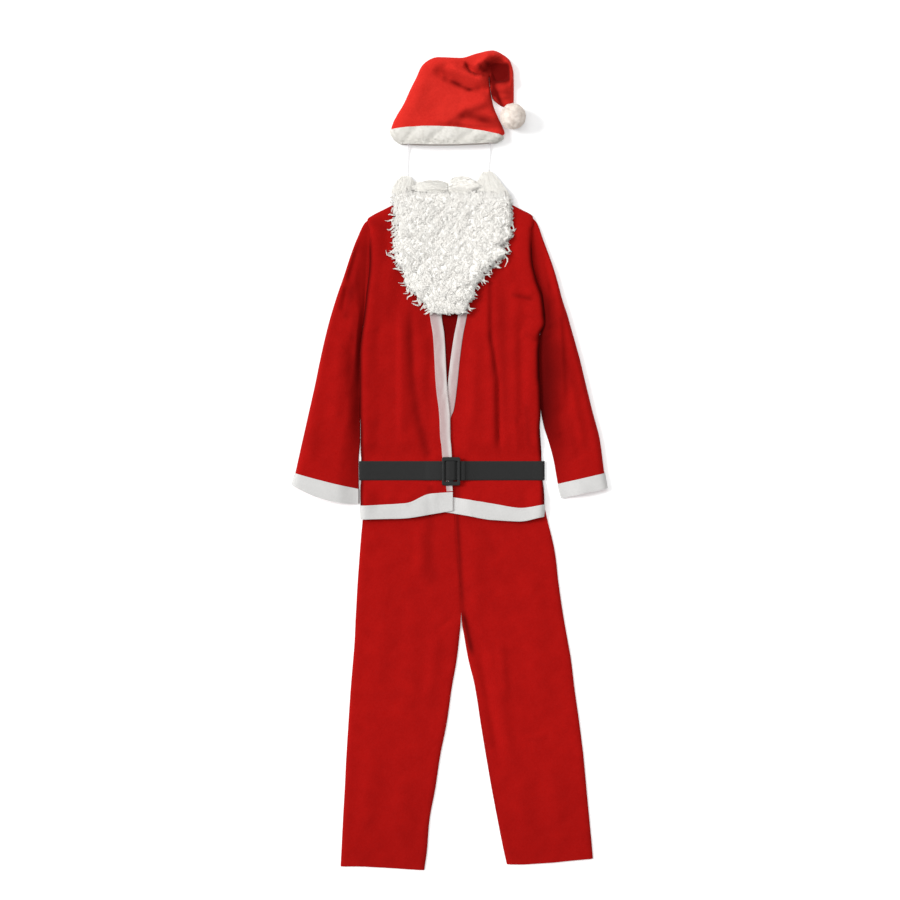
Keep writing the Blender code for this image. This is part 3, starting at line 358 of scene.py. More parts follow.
NO_STRAND_WAY = np.array((0.31, 0.22, 0.92))


def carried_tubes(name: str, lines: Grid, radii: Grid, sides: int = 3, flat: float = 1.0) -> Piece:
    """Many thin tapered tubes as one mesh: a small ring carried along each line.

    Args:
        name: The piece's name.
        lines: Points, (tubes, points along, 3), in millimetres.
        radii: (tubes, points along) in millimetres; the last closes to a tip.
        sides: Corners of each ring.
        flat: Height of the ring against its width.

    Returns:
        The linked object.
    """
    count, along = lines.shape[:2]
    tangent = unit(np.gradient(lines, axis=1))
    aside = unit(np.cross(tangent, NO_STRAND_WAY))
    third = np.cross(tangent, aside)
    turn = np.arange(sides) * 2 * math.pi / sides
    ring = (np.cos(turn)[:, None] * aside[:, :, None, :]
            + flat * np.sin(turn)[:, None] * third[:, :, None, :])
    points = lines[:, :, None, :] + ring * radii[:, :, None, None]
    number = np.arange(count * along * sides).reshape(count, along, sides)
    after = np.roll(number, -1, axis=2)
    walls = np.stack([number[:, :-1], after[:, :-1], after[:, 1:], number[:, 1:]], axis=-1)
    caps = [number[:, 0, ::-1].reshape(-1, sides), number[:, -1].reshape(-1, sides)]
    return mesh_object(name, points, [walls.reshape(-1, 4), *caps], sharp=180.0)


# ===================================================================== finishes
class Coat(Enum):
    """The record's material slots."""

    RED_FELT = "red_felt"
    HAT_FELT = "hat_felt"
    WHITE_FELT = "white_felt"
    PLUSH = "plush"
    FUR = "fur"
    ELASTIC = "elastic"
    WEBBING = "webbing"
    BUCKLE = "buckle_plastic"


Colour = tuple[float, float, float]
Socket = bpy.types.NodeSocket


class NodeSheet:
    """A node tree with short ways to add and join nodes."""

    def __init__(self, tree: bpy.types.NodeTree) -> None:
        """Keeps the tree that the nodes go into."""
        self.tree = tree

    def fill(self, node: bpy.types.Node, inputs: dict) -> None:
        """Sets a node's inputs, by name or number, or joins them to other nodes' outputs."""
        for key, value in inputs.items():
            if isinstance(value, Socket):
                self.tree.links.new(value, node.inputs[key])
            else:
                node.inputs[key].default_value = value

    def add(self, kind: str, inputs: dict | None = None, **settings: object) -> bpy.types.Node:
        """Adds a node of a kind, sets its own settings, and fills its inputs."""
        node = self.tree.nodes.new(kind)
        for key, value in settings.items():
            setattr(node, key, value)
        self.fill(node, inputs or {})
        return node

    def place(self) -> Socket:
        """Where a point lies on its own piece."""
        return self.add("ShaderNodeTexCoord").outputs["Object"]

    def maths(self, operation: str, a: object, b: object = 0.0) -> Socket:
        """The result of one Math node."""
        return self.add("ShaderNodeMath", {0: a, 1: b}, operation=operation).outputs[0]

    def vector(self, operation: str, inputs: dict) -> Socket:
        """The result of one Vector Math node."""
        return self.add("ShaderNodeVectorMath", inputs, operation=operation).outputs[0]

    def ranged(self, value: Socket, low: float = 0.0, high: float = 1.0, to_low: float = 0.0,
               to_high: float = 1.0) -> Socket:
        """A value held between low and high, and spread from to_low to to_high."""
        return self.add("ShaderNodeMapRange", {"Value": value, "From Min": low, "From Max": high,
                                               "To Min": to_low, "To Max": to_high}).outputs[0]

    def noise(self, where: Socket, scale: object, detail: float = 2.0, rough: float = 0.5) -> Socket:
        """A noise value between 0 and 1."""
        return self.add("ShaderNodeTexNoise", {"Vector": where, "Scale": scale, "Detail": detail,
                                               "Roughness": rough}).outputs["Fac"]

    def bump(self, height: Socket, strength: float, distance: float) -> Socket:
        """A shading normal that a height tilts."""
        return self.add("ShaderNodeBump", {"Height": height, "Strength": strength,
                                           "Distance": distance}).outputs[0]

    def blend(self, share: Socket, a: object, b: object) -> Socket:
        """Colour a turned into colour b by share."""
        a, b = (c if isinstance(c, Socket) else (*c, 1.0) for c in (a, b))
        return self.add("ShaderNodeMix", {0: share, 6: a, 7: b}, data_type="RGBA").outputs[2]


def cloth_fibre_group() -> bpy.types.NodeTree:
    """The group that felt and plush share: matted fibres and soft mottling.

    Fibres are noise squeezed along two crossed directions; mottling is two
    larger noises.  It puts out a Mottle mask and a Height for bump.
    """
    group = bpy.data.node_groups.get("matted_fibres")
    if group is not None:
        return group
    group = bpy.data.node_groups.new("matted_fibres", "ShaderNodeTree")
    for name, way in (("Scale", "INPUT"), ("Mottle Size", "INPUT"), ("Mottle", "OUTPUT"),
                      ("Height", "OUTPUT")):
        group.interface.new_socket(name, in_out=way, socket_type="NodeSocketFloat")
    sheet = NodeSheet(group)
    given = sheet.add("NodeGroupInput")
    out = sheet.add("NodeGroupOutput")
    place = sheet.place()
    strands = []
    for turn, squeeze in ((0.5, (1.0, 0.16, 1.0)), (-0.9, (0.2, 1.0, 1.0)), (2.1, (0.22, 1.0, 1.0))):
        turned = sheet.add("ShaderNodeMapping", {"Vector": place, "Rotation": (0.0, 0.0, turn),
                                                 "Scale": squeeze})
        strands.append(sheet.noise(turned.outputs[0], given.outputs["Scale"]))
    mat = sheet.maths("MAXIMUM", sheet.maths("MAXIMUM", strands[0], strands[1]), strands[2])
    soft = sheet.noise(place, given.outputs["Mottle Size"], 3.0)
    fine = sheet.noise(place, 210.0)
    mottle = sheet.maths("ADD", sheet.maths("MULTIPLY", soft, 0.6), sheet.maths("MULTIPLY", fine, 0.4))
    sheet.fill(out, {"Mottle": mottle, "Height": mat})
    return group


def new_material(name: str) -> tuple[bpy.types.Material, NodeSheet, bpy.types.Node]:
    """An empty node material, its sheet and its Principled shader."""
    made = bpy.data.materials.new(name)
    made.use_nodes = True
    return made, NodeSheet(made.node_tree), made.node_tree.nodes["Principled BSDF"]


@dataclass(frozen=True)
class Felt:
    """Matted felt: two near colours mottled together, fibre bump and a soft nap.

    Where a piece carries painted shading its colour turns by that share to painted shade, the
    deep colour darkened by shade, or to the marked colour; a pale one is a painted highlight.
    """

    name: str
    colour: Colour
    deep: Colour
    sheen: float = 0.25
    sheen_tint: Colour = (1.0, 1.0, 1.0)
    fibre: float = 900.0
    mottle: float = 26.0
    bump: float = 0.35
    shade: float = 0.22
    marked: Colour | None = None
    gloss: float = 0.12

    def make(self) -> bpy.types.Material:
        """Builds the material."""
        made, sheet, shader = new_material(self.name)
        fibres = sheet.add("ShaderNodeGroup", {"Scale": self.fibre, "Mottle Size": self.mottle},
                           node_tree=cloth_fibre_group())
        mottle, height = fibres.outputs["Mottle"], fibres.outputs["Height"]
        colour = sheet.blend(sheet.ranged(mottle, 0.36, 0.66), self.deep, self.colour)
        # The raised fibres are tinted lighter than the mottle: a painted highlight.
        light = tuple(min(1.0, 1.25 * c + 0.012) for c in self.colour)
        colour = sheet.blend(sheet.ranged(height, 0.5, 0.85, to_high=0.28), colour, light)
        # Painted shading: each point's share of painted shade, or of painted highlight where the marked
        # colour is pale.
        painted_shading = sheet.add("ShaderNodeAttribute", attribute_name="painted_shading").outputs["Fac"]
        colour = sheet.blend(painted_shading, colour, self.marked or tuple(self.shade * c for c in self.deep))
        sheet.fill(shader, {
            "Base Color": colour, "Roughness": sheet.ranged(height, to_low=0.98, to_high=0.82),
            "Normal": sheet.bump(height, self.bump, 0.0006), "Sheen Weight": self.sheen,
            "Sheen Roughness": 0.45, "Sheen Tint": (*self.sheen_tint, 1.0),
            "Specular IOR Level": self.gloss})
        return made


@dataclass(frozen=True)
class Hair:
    """Synthetic hair: pale fibres with slightly warmer, darker roots between them.

    Light passes from strand to strand in such hair, which evens out its shading:
    here the shading normal leans towards straight up by the soft share.
    """

    name: str
    colour: Colour
    deep: Colour
    size: float = 60.0
    rough: float = 0.6
    soft: float = 0.72
    sheen: float = 0.3

    def make(self) -> bpy.types.Material:
        """Builds the material."""
        made, sheet, shader = new_material(self.name)
        place = sheet.place()
        share = sheet.ranged(sheet.noise(place, self.size, 3.0, 0.6), 0.3, 0.62)
        upward = sheet.bump(sheet.noise(place, 1400.0, 1.0), 0.2, 0.0004)
        upward = sheet.vector("SCALE", {0: upward, "Scale": 1.0 - self.soft})
        upward = sheet.vector("ADD", {0: upward, 1: (0.0, 0.0, self.soft)})
        sheet.fill(shader, {
            "Base Color": sheet.blend(share, self.deep, self.colour),
            "Normal": sheet.vector("NORMALIZE", {0: upward}), "Roughness": self.rough,
            "Sheen Weight": self.sheen, "Specular IOR Level": 0.15})
        return made


@dataclass(frozen=True)
class Webbing:
    """Black belt webbing: cross ribs along the strap, offset from edge to edge."""

    name: str
    colour: Colour
    # The paler colour of the rib crests: a painted highlight.
    light: Colour
    rib: float = 620.0

    def make(self) -> bpy.types.Material:
        """Builds the material from the piece's own cloth coordinates."""
        made, sheet, shader = new_material(self.name)
        place = sheet.add("ShaderNodeUVMap", uv_map="cloth").outputs[0]
        parts = sheet.add("ShaderNodeSeparateXYZ", {0: place})
        across = sheet.maths("MULTIPLY", parts.outputs[1], 2 * math.pi * self.rib / 2)
        along = sheet.maths("MULTIPLY", parts.outputs[0], 2 * math.pi * self.rib)
        shift = sheet.maths("MULTIPLY", sheet.maths("SINE", across), 0.9)
        ribs = sheet.maths("ADD", sheet.maths("MULTIPLY", sheet.maths(
            "SINE", sheet.maths("ADD", along, shift)), 0.5), 0.5)
        fuzz = sheet.noise(sheet.place(), 1800.0)
        # The rib crests are tinted paler: a painted highlight.
        share = sheet.maths("MULTIPLY", sheet.maths("MULTIPLY", ribs, fuzz), 1.1)
        sheet.fill(shader, {
            "Base Color": sheet.blend(share, self.colour, self.light), "Roughness": 0.78,
            "Normal": sheet.bump(ribs, 0.5, 0.0004), "Specular IOR Level": 0.3})
        return made


@dataclass(frozen=True)
class Moulded:
    """Moulded black plastic with a fine spark-eroded grain and paler rubbed spots."""

    name: str
    colour: Colour
    wear_and_highlight: Colour

    def make(self) -> bpy.types.Material:
        """Builds the material."""
        made, sheet, shader = new_material(self.name)
        place = sheet.place()
        rubbed = sheet.noise(place, 90.0, 3.0, 0.6)
        share = sheet.ranged(rubbed, 0.5, 0.75, to_high=0.5)
        sheet.fill(shader, {
            "Base Color": sheet.blend(share, self.colour, self.wear_and_highlight), "Specular IOR Level": 0.22,
            "Roughness": sheet.ranged(rubbed, to_low=0.3, to_high=0.5),
            "Normal": sheet.bump(sheet.noise(place, 2600.0), 0.15, 0.0002)})
        return made


class Finish(NamedTuple):
    """A material, and the record's slot that it belongs to."""

    material: bpy.types.Material
    coat: Coat

    def dress(self, piece: Piece, stands_in: bool = True) -> Piece:
        """Gives a piece its material and body.

        Args:
            piece: The piece.
            stands_in: Whether it takes the place of the CAD node with its name.

        Returns:
            The piece.
        """
        piece.data.materials.clear()
        piece.data.materials.append(self.material)
        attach(piece, "root")
        if stands_in:
            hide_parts(piece.name.split(".")[0])
        LOG.info("%s: %d faces", piece.name, len(piece.data.polygons))
        return piece


class Wardrobe:
    """Every finish of the suit, made once."""

    def __init__(self) -> None:
        """Builds the materials."""
        # Red felt; its marked colour is painted shade.
        self.red = Finish(Felt(
            "red_felt", (0.347, 0.0036, 0.0026), (0.302, 0.0026, 0.0020), sheen=0.045,
            sheen_tint=(1.0, 0.16, 0.12), marked=(0.062, 0.0, 0.0), gloss=0.06).make(), Coat.RED_FELT)
        # A darker copy of the red felt for the jacket back's inside, which shows in the V: painted
        # shade.
        self.inside = Finish(Felt(
            "red_felt_painted_shade", (0.15, 0.0008, 0.0008), (0.125, 0.0006, 0.0006), sheen=0.02,
            sheen_tint=(1.0, 0.1, 0.08), gloss=0.03).make(), Coat.RED_FELT)
        # Hat felt; its marked colour is painted shade.
        self.hat = Finish(Felt(
            "hat_felt", (0.60, 0.024, 0.016), (0.50, 0.016, 0.011), sheen=0.1,
            sheen_tint=(1.0, 0.2, 0.16), fibre=700.0, mottle=18.0,
            marked=(0.10, 0.0004, 0.0004), gloss=0.06).make(), Coat.HAT_FELT)
        self.white = Finish(Felt(
            "white_felt", (0.575, 0.57, 0.56), (0.53, 0.525, 0.515), sheen=0.1).make(),
            Coat.WHITE_FELT)
        # The front bands' felt; its pale marked colour is a painted highlight.
        self.front = Finish(Felt(
            "white_front_felt", (0.468, 0.348, 0.345), (0.425, 0.305, 0.302), sheen=0.1,
            marked=(0.61, 0.56, 0.545)).make(), Coat.WHITE_FELT)
        self.plush = Finish(Felt(
            "plush", (0.71, 0.69, 0.645), (0.67, 0.65, 0.605), sheen=0.15,
            fibre=520.0, mottle=16.0, bump=0.5).make(), Coat.PLUSH)
        self.beard = Finish(Hair(
            "beard_hair", (0.925, 0.905, 0.855), (0.90, 0.87, 0.815), soft=0.86).make(), Coat.FUR)
        self.lip = Finish(Hair(
            "moustache_hair", (0.96, 0.94, 0.88), (0.93, 0.90, 0.835), 90.0).make(), Coat.FUR)
        self.puff = Finish(Hair(
            "pompom_hair", (0.93, 0.85, 0.78), (0.86, 0.76, 0.68), 120.0, soft=0.4).make(), Coat.FUR)
        self.elastic = Finish(Felt(
            "elastic", (1.0, 1.0, 1.0), (0.97, 0.97, 0.98), fibre=1600.0).make(), Coat.ELASTIC)
        self.web = Finish(Webbing(
            "webbing", (0.0072, 0.0074, 0.0073), (0.0275, 0.028, 0.0278)).make(), Coat.WEBBING)
        self.plastic = Finish(Moulded(
            "buckle_plastic", (0.0085, 0.009, 0.009), (0.018, 0.019, 0.0185)).make(), Coat.BUCKLE)
        self.thread = Finish(Felt(
            "white_thread", (0.72, 0.71, 0.69), (0.64, 0.63, 0.61)).make(), Coat.WHITE_FELT)


def stitch_row(name: str, lines: Sequence[tuple[Grid, Grid]], pitch: float = 3.6,
               length: float = 2.5, radius: float = 0.32) -> Piece:
    """Sewing thread as small pointed beads set end to end along lines.

    Each stitch is a stretched octahedron lying along its line, half sunk in the cloth.

    Args:
        name: The piece's name.
        lines: Pairs of points along a line, and the cloth's normals there.
        pitch: From one stitch to the next, in millimetres.
        length: One stitch's length.
        radius: The thread's half width.

    Returns:
        The linked object.
    """
    centres, alongs, ups = [], [], []
    for points, normals in lines:
        knots = distances(points)
        at = np.arange(pitch, knots[-1] - pitch / 2, pitch)
        place = along_line(points, knots, at)
        centres.append(place)
        alongs.append(unit(along_line(points, knots, at + 0.5) - place))
        ups.append(unit(along_line(normals, knots, at)))
    centre, along, up = (np.concatenate(v)[:, None, :] for v in (centres, alongs, ups))
    aside = np.cross(along, up)
    half = length / 2
    corners = np.concatenate([-along * half, along * half, aside * radius, -aside * radius,
                              up * radius * 1.2, -up * radius], axis=1)
    count = len(centre)
    plan = np.array(((0, 2, 4), (2, 1, 4), (1, 3, 4), (3, 0, 4),
                     (2, 0, 5), (1, 2, 5), (3, 1, 5), (0, 3, 5)))
    faces = (np.arange(count)[:, None, None] * 6 + plan[None]).reshape(-1, 3)
    return mesh_object(name, centre + up * 0.1 + corners, [faces], sharp=180.0)


# ================================================================ panels, tubes
def row_distances(table: Grid) -> Grid:
    """How far along the middle of a table of rows each row lies."""
    return distances((table[:, 0:2] + table[:, 2:4]) / 2)


def row_steps(table: Grid, pitch: float) -> Grid:
    """How many steps of about pitch lie between a table's rows, by the longer edge."""
    reach = [np.linalg.norm(np.diff(table[:, k:k + 2], axis=0), axis=1) for k in (0, 2)]
    return np.maximum(1, np.round(np.maximum(*reach) / pitch)).astype(int)


@dataclass(frozen=True)
class Panel:
    """A cloth panel ruled between two edge lines that its rows give."""

    rows: tuple[Row, ...]
    straight_bow: bool = False

    def places(self, pitch: float) -> Grid:
        """Places along the rows, every table row among them, about pitch apart."""
        return spread(np.arange(float(len(self.rows))), row_steps(np.array(self.rows), pitch))

    def lines(self, places: Grid) -> Grid:
        """The edge points and bows at places: a smooth curve through the rows' values."""
        table = np.array(self.rows)
        knots = row_distances(table)
        at = np.interp(places, np.arange(len(self.rows)), knots)
        return np.stack([smooth_line(knots, table[:, k], at) for k in range(7)])

    def grid(self, places: Grid, columns: Grid) -> tuple[Grid, Grid, Grid]:
        """x, y and the share of the way from edge a to edge b.

        A point lies on the straight line between the two edges, lifted by the bow.

        Args:
            places: Places along the rows.
            columns: Places from 0 to 1 across, one list or one for each place.

        Returns:
            Three grids, a row for each place.
        """
        a_x, a_y, b_x, b_y, *bow = self.lines(places)
        u = np.broadcast_to(columns, (len(places), np.shape(columns)[-1]))
        quarters = np.linspace(0.0, 1.0, 5)
        lift = np.zeros(u.shape)
        for r in np.flatnonzero(np.abs(bow).sum(axis=0) > 1e-6):
            values = (0.0, bow[0][r], bow[1][r], bow[2][r], 0.0)
            lift[r] = (np.interp(u[r], quarters, values) if self.straight_bow
                       else smooth_line(quarters, values, u[r]))
        return (a_x[:, None] + (b_x - a_x)[:, None] * u,
                a_y[:, None] + (b_y - a_y)[:, None] * u + lift, u)


@dataclass(frozen=True)
class FlatTube:
    """A cloth tube pressed flat: a line across at each station, a height above it."""

    stations: tuple[Station, ...]
    wall: float = FELT
    edge_round: float = 2.6
    half_gap: float = 0.12

    def rings(self, pitch: float, across: int, height: Height) -> tuple[Grid, Grid, Grid]:
        """The outer and inner rings and cloth places.

        Along the top a ring runs at base + height, and back at the base; both
        meet half way up at the two edges, in quarter rounds.

        Args:
            pitch: Distance between rings, in millimetres.
            across: Points along the top.
            height: Gives the outside height from x, y, both edge distances and fullness.

        Returns:
            Outer grid, inner grid and cloth coordinates in metres.
        """
        table = np.array(self.stations)
        knots = row_distances(table)
        at = spread(knots, row_steps(table, pitch))
        a_x, a_y, b_x, b_y, base, full, bow = (
            smooth_line(knots, table[:, k], at)[:, None] for k in range(7))
        width = np.hypot(b_x - a_x, b_y - a_y)
        top = crowded(across, 0.45)
        under = np.linspace(1.0, 0.0, across // 2 + 2)[1:-1]
        s = np.concatenate([top, under])[None, :]
        on_top = np.arange(s.shape[1]) < across
        grids = []
        for inset in (0.0, self.wall):
            place = inset / width + s * (1.0 - 2.0 * inset / width)
            x = a_x + (b_x - a_x) * place
            y = a_y + (b_y - a_y) * place + 4.0 * bow * place * (1.0 - place)
            near = np.clip(place, 0.0, 1.0) * width
            edge = np.minimum(near, width - near)
            rise = height(x, y, near, width - near, full)
            half = EDGE / 2
            turned = quarter_round(edge + 0.05, self.edge_round)
            over = base + half + (rise - half) * turned - inset
            below = base + half * (1.0 - turned) + inset
            gap = self.half_gap if inset else 0.0
            z = np.where(on_top, np.maximum(over, base + half + gap if inset else 0.0),
                         np.minimum(below, base + half - gap))
            grids.append(stack(x, y, z))
        cloth = stack(s * width, at[:, None], 0.0)[..., :2] * MM
        return grids[0], grids[1], cloth

    def ring_at(self, station: int, pitch: float) -> int:
        """The number of the ring that lies on a station."""
        return int(row_steps(np.array(self.stations), pitch)[:station].sum())


# =================================================================== the jacket
OVER_BELT = 2.2
OVER_TROUSERS = 5.3
NECK_LIFT = 1.7
BELT_Y = -28.0
BELT_WIDTH = 48.0
FRONT_RIGHT_ROWS = entries(
    Row,
    (-198, 603, -91, 656, 4, 4.5, 2), (-196, 560, -62, 612), (-196, 500, -40, 550),
    (-204, 414, -26, 430), (-211, 352, -19, 352), (-217, 312, -13, 312), (-221, 260, -10, 260),
    (-221, 179, -6, 179), (-221, 106, 0.8, 106), (-221, 60, 1.6, 60), (-221, 30, 4.6, 30),
    (-221, 0, 6, 0), (-222, -53, 7, -53), (-222, -60, 7, -60), (-221, -115, 8, -81, -6, -10, 3.5),
    (-220, -150, 8, -128, -4, -7.5, -4),
)
FRONT_LEFT_ROWS = entries(
    Row,
    (199, 611, 91, 656, 5, 8, 5), (199, 560, 70, 610), (201, 500, 49, 545), (212, 448, 34, 448),
    (227, 400, 27, 400), (231, 352, 20, 352), (220, 312, 12, 312), (219, 260, 4, 260),
    (221, 179, -6, 179), (223, 122, -15.5, 122), (223.6, 100, -24, 100), (228, 30, -24, 30),
    (230, 0, -24, 0), (233, -53, -22, -53), (234, -60, -22, -60),
    (236, -112, -21, -90, -14, -9, -4), (234, -143, -20, -130, -15, -14.5, -7),
)
BACK_ROWS = entries(
    Row,
    (-198, 603, 199, 611, 50, 43, 47), (-196, 585, 199, 587, 40, 32, 40),
    (-196, 545, 199, 545, 20, 16, 20), (-196, 500, 201, 500), (-205, 405, 226, 405),
    (-211, 352, 231, 352), (-217, 312, 220, 312), (-221, 260, 219, 260), (-221, 179, 221, 179),
    (-221, 106, 223, 111), (-221, 30, 228, 30), (-221, 0, 230, 0), (-222, -53, 233, -53),
    (-222, -60, 234, -60), (-221, -112, 235, -106, 2.5, 18, -6.5),
    (-220, -147, 234, -141, 2.5, 18, -6.5),
)
FRONT_RIGHT_FOLDS = entries(
    Fold,
    (-122, 410, -121, 20, 15, 6, 0.5), (-99, 390, -84, 130, 13, -4.2), (-86, 170, -52, -6, 13, -4),
    (-62, 330, -58, 200, 14, 2.6), (-150, 520, -170, 330, 16, 3.4), (-75, -66, -120, -112, 13, 3),
    (-196, 529, -204, 414, 4, -2.2), (-204, 430, -214, 334, 4, -2.2),
    (-180, 250, -186, 60, 12, 1.6), (-140, -60, -152, -112, 7, 1.4), (-30, -60, -48, -108, 8, 1.2),
    (-176, 330, -212, 318, 7, 1.4), (-172, 296, -210, 300, 6, -1.2),
)
FRONT_LEFT_FOLDS = entries(
    Fold,
    (103, 490, 104, 270, 8, -6), (101, 330, 122, 205, 8, -6), (122, 250, 125, 0, 8, -6),
    (90, 480, 108, 200, 12, 5), (108, 230, 109, 10, 12, 5), (160, 420, 164, 30, 15, 5),
    (171, 100, 172, -10, 10, 4), (152, 436, 214, 410, 9, 3.6), (178, 318, 216, 300, 9, 3.4),
    (60, 330, 58, 60, 14, 3), (165, 410, 212, 392, 4, -2.2), (170, 120, 176, -4, 4, -2),
    (196, 250, 200, 40, 10, 1.8), (86, -60, 60, -106, 7, 1.4), (160, -60, 178, -110, 8, 1.6),
    (184, 356, 222, 350, 6, -1.4),
)
BAND_YS = (-150.0, -60.0, 10.0, 350.0, 660.0)
SLEEVE_RIGHT_STATIONS = entries(
    Station,
    (-186, 364, -188, 571, 1.9, 0), (-212.6, 354, -199.6, 586, 1.9, 0),
    (-214.4, 347, -200.8, 600, 1.6, 0), (-215.8, 340, -211, 593, 1, 0.15),
    (-218, 326, -230, 556, 0.3, 0.45), (-221.6, 290, -247, 512, 0, 0.85), (-223.2, 245, -264, 460),
    (-223.2, 195, -284, 402), (-223.2, 145, -304, 334), (-223.2, 100, -321, 262),
    (-223.2, 50, -338, 180), (-227, 0, -356.5, 98), (-227.2, -34, -374, 20, 0.4, 0.95),
    (-226.4, -74, -386, -34, 2.2, 0.85, -2), (-226.2, -110, -394.5, -63, 2.2, 0.75, -14),
)
SLEEVE_LEFT_STATIONS = entries(
    Station,
    (206, 390, 189, 573, 1.9, 0), (232.6, 380, 200.4, 592, 1.9, 0),
    (234.4, 371, 201.6, 607, 1.6, 0), (235.6, 361, 216, 596, 1.1, 0.1),
    (235.6, 348, 236, 546, 0.5, 0.4), (232.4, 332, 262, 474, 0.1, 0.8),
    (226.6, 314, 274, 432, 0, 0.9), (222.4, 290, 283, 398), (221.8, 250, 295, 362),
    (222.8, 205, 305.5, 325), (224.4, 162, 315.5, 290), (228, 125, 325, 256),
    (237, 80, 338.5, 200), (249, 42, 357.5, 122), (261, -4, 376.5, 48, 0.4, 0.95),
    (271, -61, 387.5, -34, 2.2, 0.85), (280, -97, 394.5, -72, 2.2, 0.8),
)
SLEEVE_RIGHT_FOLDS = entries(
    Fold,
    (-226, 540, -254, 430, 9, -7), (-254, 440, -268, 360, 9, -6), (-240, 330, -244, 120, 14, -6),
    (-252, 560, -300, 400, 11, 3.6), (-272, 320, -285, 60, 18, 3.6), (-330, 120, -350, -20, 16, 3),
    (-238, 300, -280, 330, 6, 1.8), (-236, 262, -272, 286, 5, -1.6), (-250, 60, -312, 86, 7, 1.2),
    (-258, -20, -340, 20, 6, 1.2),
)
SLEEVE_LEFT_FOLDS = entries(
    Fold,
    (228, 545, 262, 400, 10, -7), (250, 420, 252, 150, 15, -7), (272, 400, 287, 120, 8, 4.4),
    (291, 250, 338, 0, 13, 4.6), (268, 140, 296, 0, 13, -5), (240, 330, 276, 356, 6, 2),
    (236, 292, 266, 316, 5, -1.6), (262, 60, 318, 92, 7, 1.2), (290, -20, 352, 8, 6, 1.2),
)
# Painted shade where the cloth lies in shadowed hollows: a height is the share of the darkened deep
# colour.
FRONT_RIGHT_SHADES = entries(
    Fold,
    (-99, 410, -96, 190, 9, 0.26), (-96, 225, -74, 60, 11, 0.28), (-76, 90, -52, -4, 12, 0.36),
    (-52, -58, -38, -112, 9, 0.32), (-194, 604, -150, 566, 14, 0.2),
    (-150, 250, -156, 40, 20, 0.05),
)
FRONT_LEFT_SHADES = entries(
    Fold,
    (101, 480, 102, 262, 6, 0.24), (101, 335, 114, 190, 6, 0.26), (110, 262, 116, 70, 6, 0.12),
    (116, 120, 127, -4, 6, 0.14), (128, 470, 140, 60, 13, 0.2), (150, 414, 216, 398, 6, 0.36),
    (190, 156, 200, 10, 9, 0.26), (176, 320, 218, 300, 6, 0.14), (216, 296, 215, 180, 7, 0.4),
    (14, -58, 24, -112, 9, 0.4),
)
SLEEVE_RIGHT_SHADOWS = entries(
    Shadow,
    (-60, 0.4, 0, 36), (36, 0.55, 0, 38), (86, 0.62, 3, 40), (136, 0.66, 5, 40),
    (186, 0.72, 0, 48), (236, 0.78, 0, 44), (286, 0.7, 0, 38), (336, 0.42, 0, 34),
    (386, 0.4, 0, 26), (436, 0.25, 0, 30), (536, 0.25, 0, 26), (580, 0.1, 0, 24),
)
SLEEVE_LEFT_SHADOWS = entries(
    Shadow,
    (-60, 0.15, 30, 80), (11, 0.42, 26, 100), (61, 0.68, 16, 96), (111, 0.95, 8, 82),
    (161, 0.9, 12, 92), (211, 0.84, 22, 92), (261, 0.84, 14, 94), (311, 0.86, 10, 66),
    (361, 0.84, 4, 64), (411, 0.86, 0, 46), (461, 0.6, 0, 46), (511, 0.4, 8, 42),
    (560, 0.25, 5, 36), (590, 0, 5, 36),
)
SLEEVE_RIGHT_SHADES = entries(
    Fold,
    (-214, 560, -250, 380, 22, 0.25), (-330, 110, -346, -10, 12, 0.08),
    (-244, 440, -262, 340, 10, 0.3), (-236, 380, -246, 290, 7, 0.16),
)
SLEEVE_LEFT_SHADES = entries(
    Fold,
    (262, 360, 300, 150, 16, 0.15), (300, 120, 318, -20, 12, 0.12),
)


def belt_press(y: Grid) -> Grid:
    """0 under the belt, where the cloth is pulled flat, and 1 clear of it."""
    return ease((np.abs(y - BELT_Y) - BELT_WIDTH / 2 - 4.0) / 46.0)


def under_jacket(y: Grid) -> Grid:
    """How high the jacket back lies: on the floor, the belt or the trousers."""
    knots = (-150.0, -60.0, -53.0, 0.0, 30.0, 588.0, 617.0, 660.0)
    heights = (OVER_TROUSERS, OVER_TROUSERS, OVER_BELT, OVER_BELT, 0.0, 0.0, NECK_LIFT, NECK_LIFT)
    return np.interp(y, knots, heights)


def hand_creases(x: Grid, y: Grid, seed: float) -> Grid:
    """The cloth's slight unevenness: three sizes of lump, all under a millimetre."""
    return (0.42 * unevenness(x, y, 110.0, seed) + 0.26 * unevenness(x, y, 47.0, seed + 1.3)
            + 0.10 * unevenness(x, y, 19.0, seed + 2.9))


BAND_PLACES = np.array((0.0, 0.02, 0.11, 0.25, 0.4, 0.6, 0.75, 0.89, 0.98, 1.0))
STITCHED_PLACES = (2, 7)
BAND_LIFT = np.array((0.6, 0.95, 0.86, 1.05, 1.1, 1.1, 1.05, 0.86, 0.95, 0.6))


def band_on(name: str, under: Grid, axis: int, finish: Finish) -> tuple[Piece, list[tuple[Grid, Grid]]]:
    """A felt band sewn on a surface, with rounded edges and dips along its two stitch rows.

    Args:
        name: The name of the piece and of the CAD node that it stands for.
        under: The surface under the band; its ten places across run along axis.
        axis: 0 where the places across run down the grid, 1 where they run along it.
        finish: The band's finish.

    Returns:
        The piece, and its two stitch lines with their normals.
    """
    normal = normals_of(under)
    lift = BAND_LIFT[:, None, None] if axis == 0 else BAND_LIFT[None, :, None]
    upper = under + normal * (SEAM + TRIM * lift)
    piece = finish.dress(shell(name, under + normal * SEAM, upper))
    lines = [(np.take(upper, k, axis=axis), np.take(normal, k, axis=axis)) for k in STITCHED_PLACES]
    return piece, lines


def cloth_area(grid: Grid) -> float:
    """The area of a grid of points in millimetres, in square metres."""
    across, down = np.diff(grid, axis=1)[:-1], np.diff(grid, axis=0)[:, :-1]
    return float(np.linalg.norm(np.cross(across, down), axis=-1).sum()) * MM * MM


